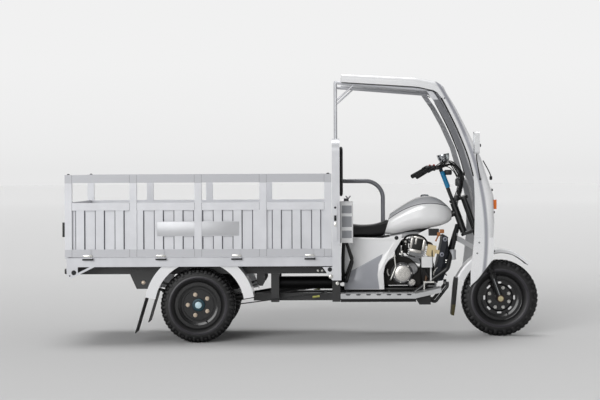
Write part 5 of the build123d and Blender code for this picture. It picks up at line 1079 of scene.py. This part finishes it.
# The meter: a chromed cup with a bezel, a pale dial with plain marks and a needle under its
# glass, and a black bracket.
meter_x, meter_z = 1.078, 1.362
meter = (meter_x, 0, meter_z)
aim = Vector((-0.22, 0, 1.0))
cup = [(0.0, -0.034), (0.016, -0.034), (0.027, -0.029), (0.038, -0.016), (0.0455, 0.006),
       (0.0480, 0.024), (0.0490, 0.030), (0.0470, 0.0345), (0.0435, 0.0330), (0.0425, 0.0290)]
lathe(cup, meter, aim, steps=64)
settle("meter_cup", "steering", chrome)
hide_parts("speedometer")
dial_paper = finish("pale_printed_dial", ("#D2D3D2", "#DEDEDC"), 0.0, (0.35, 0.45), 4, 0.0)
lathe([(0.0, 0.0288), (0.040, 0.0288), (0.0428, 0.0296)], meter, aim, steps=64)
settle("meter_dial", "steering", dial_paper)
marks = []
for n in range(13):
    mark = slab((meter_x + 0.030, -0.0008, meter_z + 0.0289),
                (meter_x + 0.038, 0.0008, meter_z + 0.0294), 0.0001)
    mark.data.transform(about((meter_x, 0, 0), math.radians(-30 + 20 * n), "Z"))
    marks.append(mark)
needle = slab((meter_x - 0.006, -0.0008, meter_z + 0.0300),
              (meter_x + 0.032, 0.0008, meter_z + 0.0306), 0.0002)
needle.data.transform(about((meter_x, 0, 0), math.radians(150), "Z"))
joined(marks + [needle])
tilt = Vector((0, 0, 1)).rotation_difference(aim).to_matrix().to_4x4()
spot = Matrix.Translation(meter)
bpy.context.object.data.transform(spot @ tilt @ spot.inverted())
settle("meter_marks", "steering", dark_steel)
lathe([(0.0430, 0.0318), (0.034, 0.0338), (0.018, 0.0352), (0.0, 0.0358)], meter, aim,
      steps=48)
settle("meter_glass", "steering", pane_glass)
stand = [slab((1.048, -0.016, 1.296), (1.072, 0.016, 1.338), 0.003),
         slab((1.056, -0.030, 1.326), (1.092, 0.030, 1.334), 0.002)]
group(stand, "meter_bracket", "steering", dark_steel)


# Bar fittings: black switch blocks with red buttons, a blue wrapped loom on the right riser, and
# two sheathed control cables that loop forward from the bar and down to the fork's yoke.
switches = [slab((0.952, sign * 0.285 - 0.026, 1.268), (0.998, sign * 0.285 + 0.026, 1.310), 0.007)
            for sign in (-1, 1)]
switches += [slab((0.998, sign * 0.262 - 0.014, 1.276), (1.022, sign * 0.262 + 0.014, 1.304),
                  0.005) for sign in (-1, 1)]
switches += [slab((1.086, -0.075, 1.236), (1.136, 0.075, 1.276), 0.008),
             slab((1.168, -0.060, 1.150), (1.212, 0.060, 1.210), 0.010)]
group(switches, "switch_blocks", "steering", plastic)
button_red = finish("red_moulded_button", ("#B0241C", "#C23024"), 0.0, (0.25, 0.35), 2, 0.02)
buttons = [lathe([(0, 0), (0.0075, 0), (0.0085, 0.004), (0.0060, 0.008), (0, 0.0085)],
                 (0.986, sign * 0.290, 1.3095), (0.1, 0, 1), steps=20) for sign in (-1, 1)]
group(buttons, "kill_button", "steering", button_red)
tape_blue = finish("blue_loom_tape", ("#1179AE", "#2A97C8"), 0.0, (0.3, 0.45), 3, 0.08, patch=14)
loom_low, loom_high = Vector((1.1084, -0.048, 1.140)), Vector((1.0600, -0.048, 1.264))
reach = (loom_high - loom_low).length
coils = [(0.0130, 0)]
for n in range(9):
    base = reach * (n + 0.1) / 9
    coils += [(0.0178, base), (0.0186, base + reach * 0.04), (0.0170, base + reach * 0.085)]
coils += [(0.0130, reach)]
lathe(coils, loom_low, loom_high - loom_low, steps=36)
settle("blue_wrapped_loom", "steering", tape_blue)

# Each cable's length is 0.955 of the straight runs between its route's points.
for route, side in (
        ([(1.062, -0.110, 1.292), (1.085, -0.108, 1.318), (1.135, -0.104, 1.322),
          (1.188, -0.098, 1.286), (1.222, -0.092, 1.222), (1.218, -0.088, 1.150),
          (1.198, -0.086, 1.074)], "brake"),
        ([(1.060, 0.112, 1.290), (1.090, 0.108, 1.308), (1.140, 0.102, 1.290),
          (1.180, 0.096, 1.236), (1.204, 0.090, 1.160), (1.196, 0.086, 1.074)], "throttle")):
    cable = strand("looped_cable_" + side, route, 0.0035, 2, 12)
    cable.data.materials.append(rubber)
    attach(cable, "steering")


# Small fittings below: tread teeth along the footboards, the water tank's wing cap, the hose
# beside the headboard's foot, tan shackle bushes and the adjuster on each brake rod.
teeth = []
pitch = 0.0235
for sign in (-1, 1):
    for x, y, count in ((0.290, 0.4220, 24), (0.302, 0.3980, 23)):
        tooth = lathe([(0.0075, -0.001), (0.0070, 0.003), (0.0045, 0.006), (0.0035, 0.0045),
                       (0, 0.0040)], (x, sign * y, 0.3530), (0, 0, 1), steps=12)
        teeth.append(repeat(tooth, [Matrix.Translation((pitch * n, 0, 0)) for n in range(count)]))
group(teeth, "footboard_teeth", "chassis", tread_metal)
wing_grey = finish("grey_wing_plastic", ("#6B6B6D", "#7E7E80"), 0.0, (0.35, 0.5), 2, 0.04)
wings = [pipe([(0.338, -0.400, 1.058), (0.334, -0.400, 1.070), (0.320, -0.400, 1.084)], 0.0045),
         pipe([(0.338, -0.400, 1.058), (0.342, -0.400, 1.070), (0.356, -0.400, 1.084)], 0.0045)]
group(wings, "tank_wing_cap", "chassis", wing_grey)
pipe([(0.303, -0.320, 0.733), (0.300, -0.300, 0.660), (0.296, -0.286, 0.560),
      (0.300, -0.262, 0.470), (0.306, -0.232, 0.440), (0.316, -0.206, 0.436)], 0.0135)
settle("heater_hose", "chassis", rubber)
passivate = finish("yellow_green_passivate", ("#A7A752", "#C3C271"), 0.5, (0.3, 0.45), 2, 0.03)
bushes, adjusters = [], []
for sign in (-1, 1):
    bushes.append(lathe([(0.006, 0), (0.015, 0.001), (0.017, 0.005), (0.012, 0.009), (0, 0.010)],
                        (-1.200, sign * 0.3445, 0.440), (0, sign, 0), steps=28))
    adjusters.append(pipe([(0.070, sign * 0.383, 0.3285), (0.095, sign * 0.383, 0.3315),
                           (0.122, sign * 0.383, 0.3350)], 0.0085))
group(bushes, "shackle_bushes", "chassis", tan_zinc)
group(adjusters, "brake_adjusters", "chassis", passivate)


# A bunch of sheathed cables from the levers to the steering head, each held at both ends by its
# clamps, with three dark connectors among them.
bunch = []
for sign in (-1, 1):
    for place, spread in enumerate((0.0, 0.018, 0.036, 0.050)):
        bunch.append(pipe([(1.010, sign * (0.235 - spread), 1.288),
                           (1.075 + spread, sign * (0.190 - spread), 1.350 - 0.5 * spread),
                           (1.160 + spread * 0.8, sign * (0.150 - spread), 1.335 - spread),
                           (1.205 + spread * 0.6, sign * (0.115 - spread * 0.6), 1.225),
                           (1.190, sign * (0.085 - spread * 0.5), 1.120 - spread),
                           (1.150 + spread * 0.5, sign * (0.060 - spread * 0.3), 1.040 - spread)],
                          0.0034 - 0.0004 * (place % 2)))
bunch += [slab((1.176, -0.104, 1.150), (1.206, -0.070, 1.196), 0.006),
          slab((1.182, -0.098, 1.236), (1.208, -0.066, 1.270), 0.006),
          slab((1.150, -0.092, 1.040), (1.186, -0.060, 1.080), 0.006)]
group(bunch, "sheathed_cable_bunch", "steering", plastic)


# The footboards' edge: drain notches in the pressed steel lip, made as thin dark plates in a row
# along it, painted shade for the shade seen through each notch.
for side, sign in both_sides:
    notches = []
    for n in range(7):
        x = 0.335 + 0.076 * n
        notch = [(x - 0.019, 0.3515), (x - 0.012, 0.3415), (x + 0.012, 0.3415),
                 (x + 0.019, 0.3515)]
        notches.append(plate([(x, sign * 0.4302, z) for x, z in notch], 0.0012, 0.0003))
    group(notches, "footboard_notches_" + side, "chassis", dark_steel)


# The wiper's near half: a black moulded arm that leans back from its spindle, over the edge of
# the screen.
arm = [pipe([(1.4440, -0.002, 1.214), (1.4300, -0.030, 1.250), (1.3960, -0.074, 1.306),
             (1.3720, -0.104, 1.344)], 0.0042),
       slab((1.430, -0.020, 1.196), (1.450, 0.014, 1.226), 0.006)]
group(arm, "wiper_arm_near", "chassis", plastic)
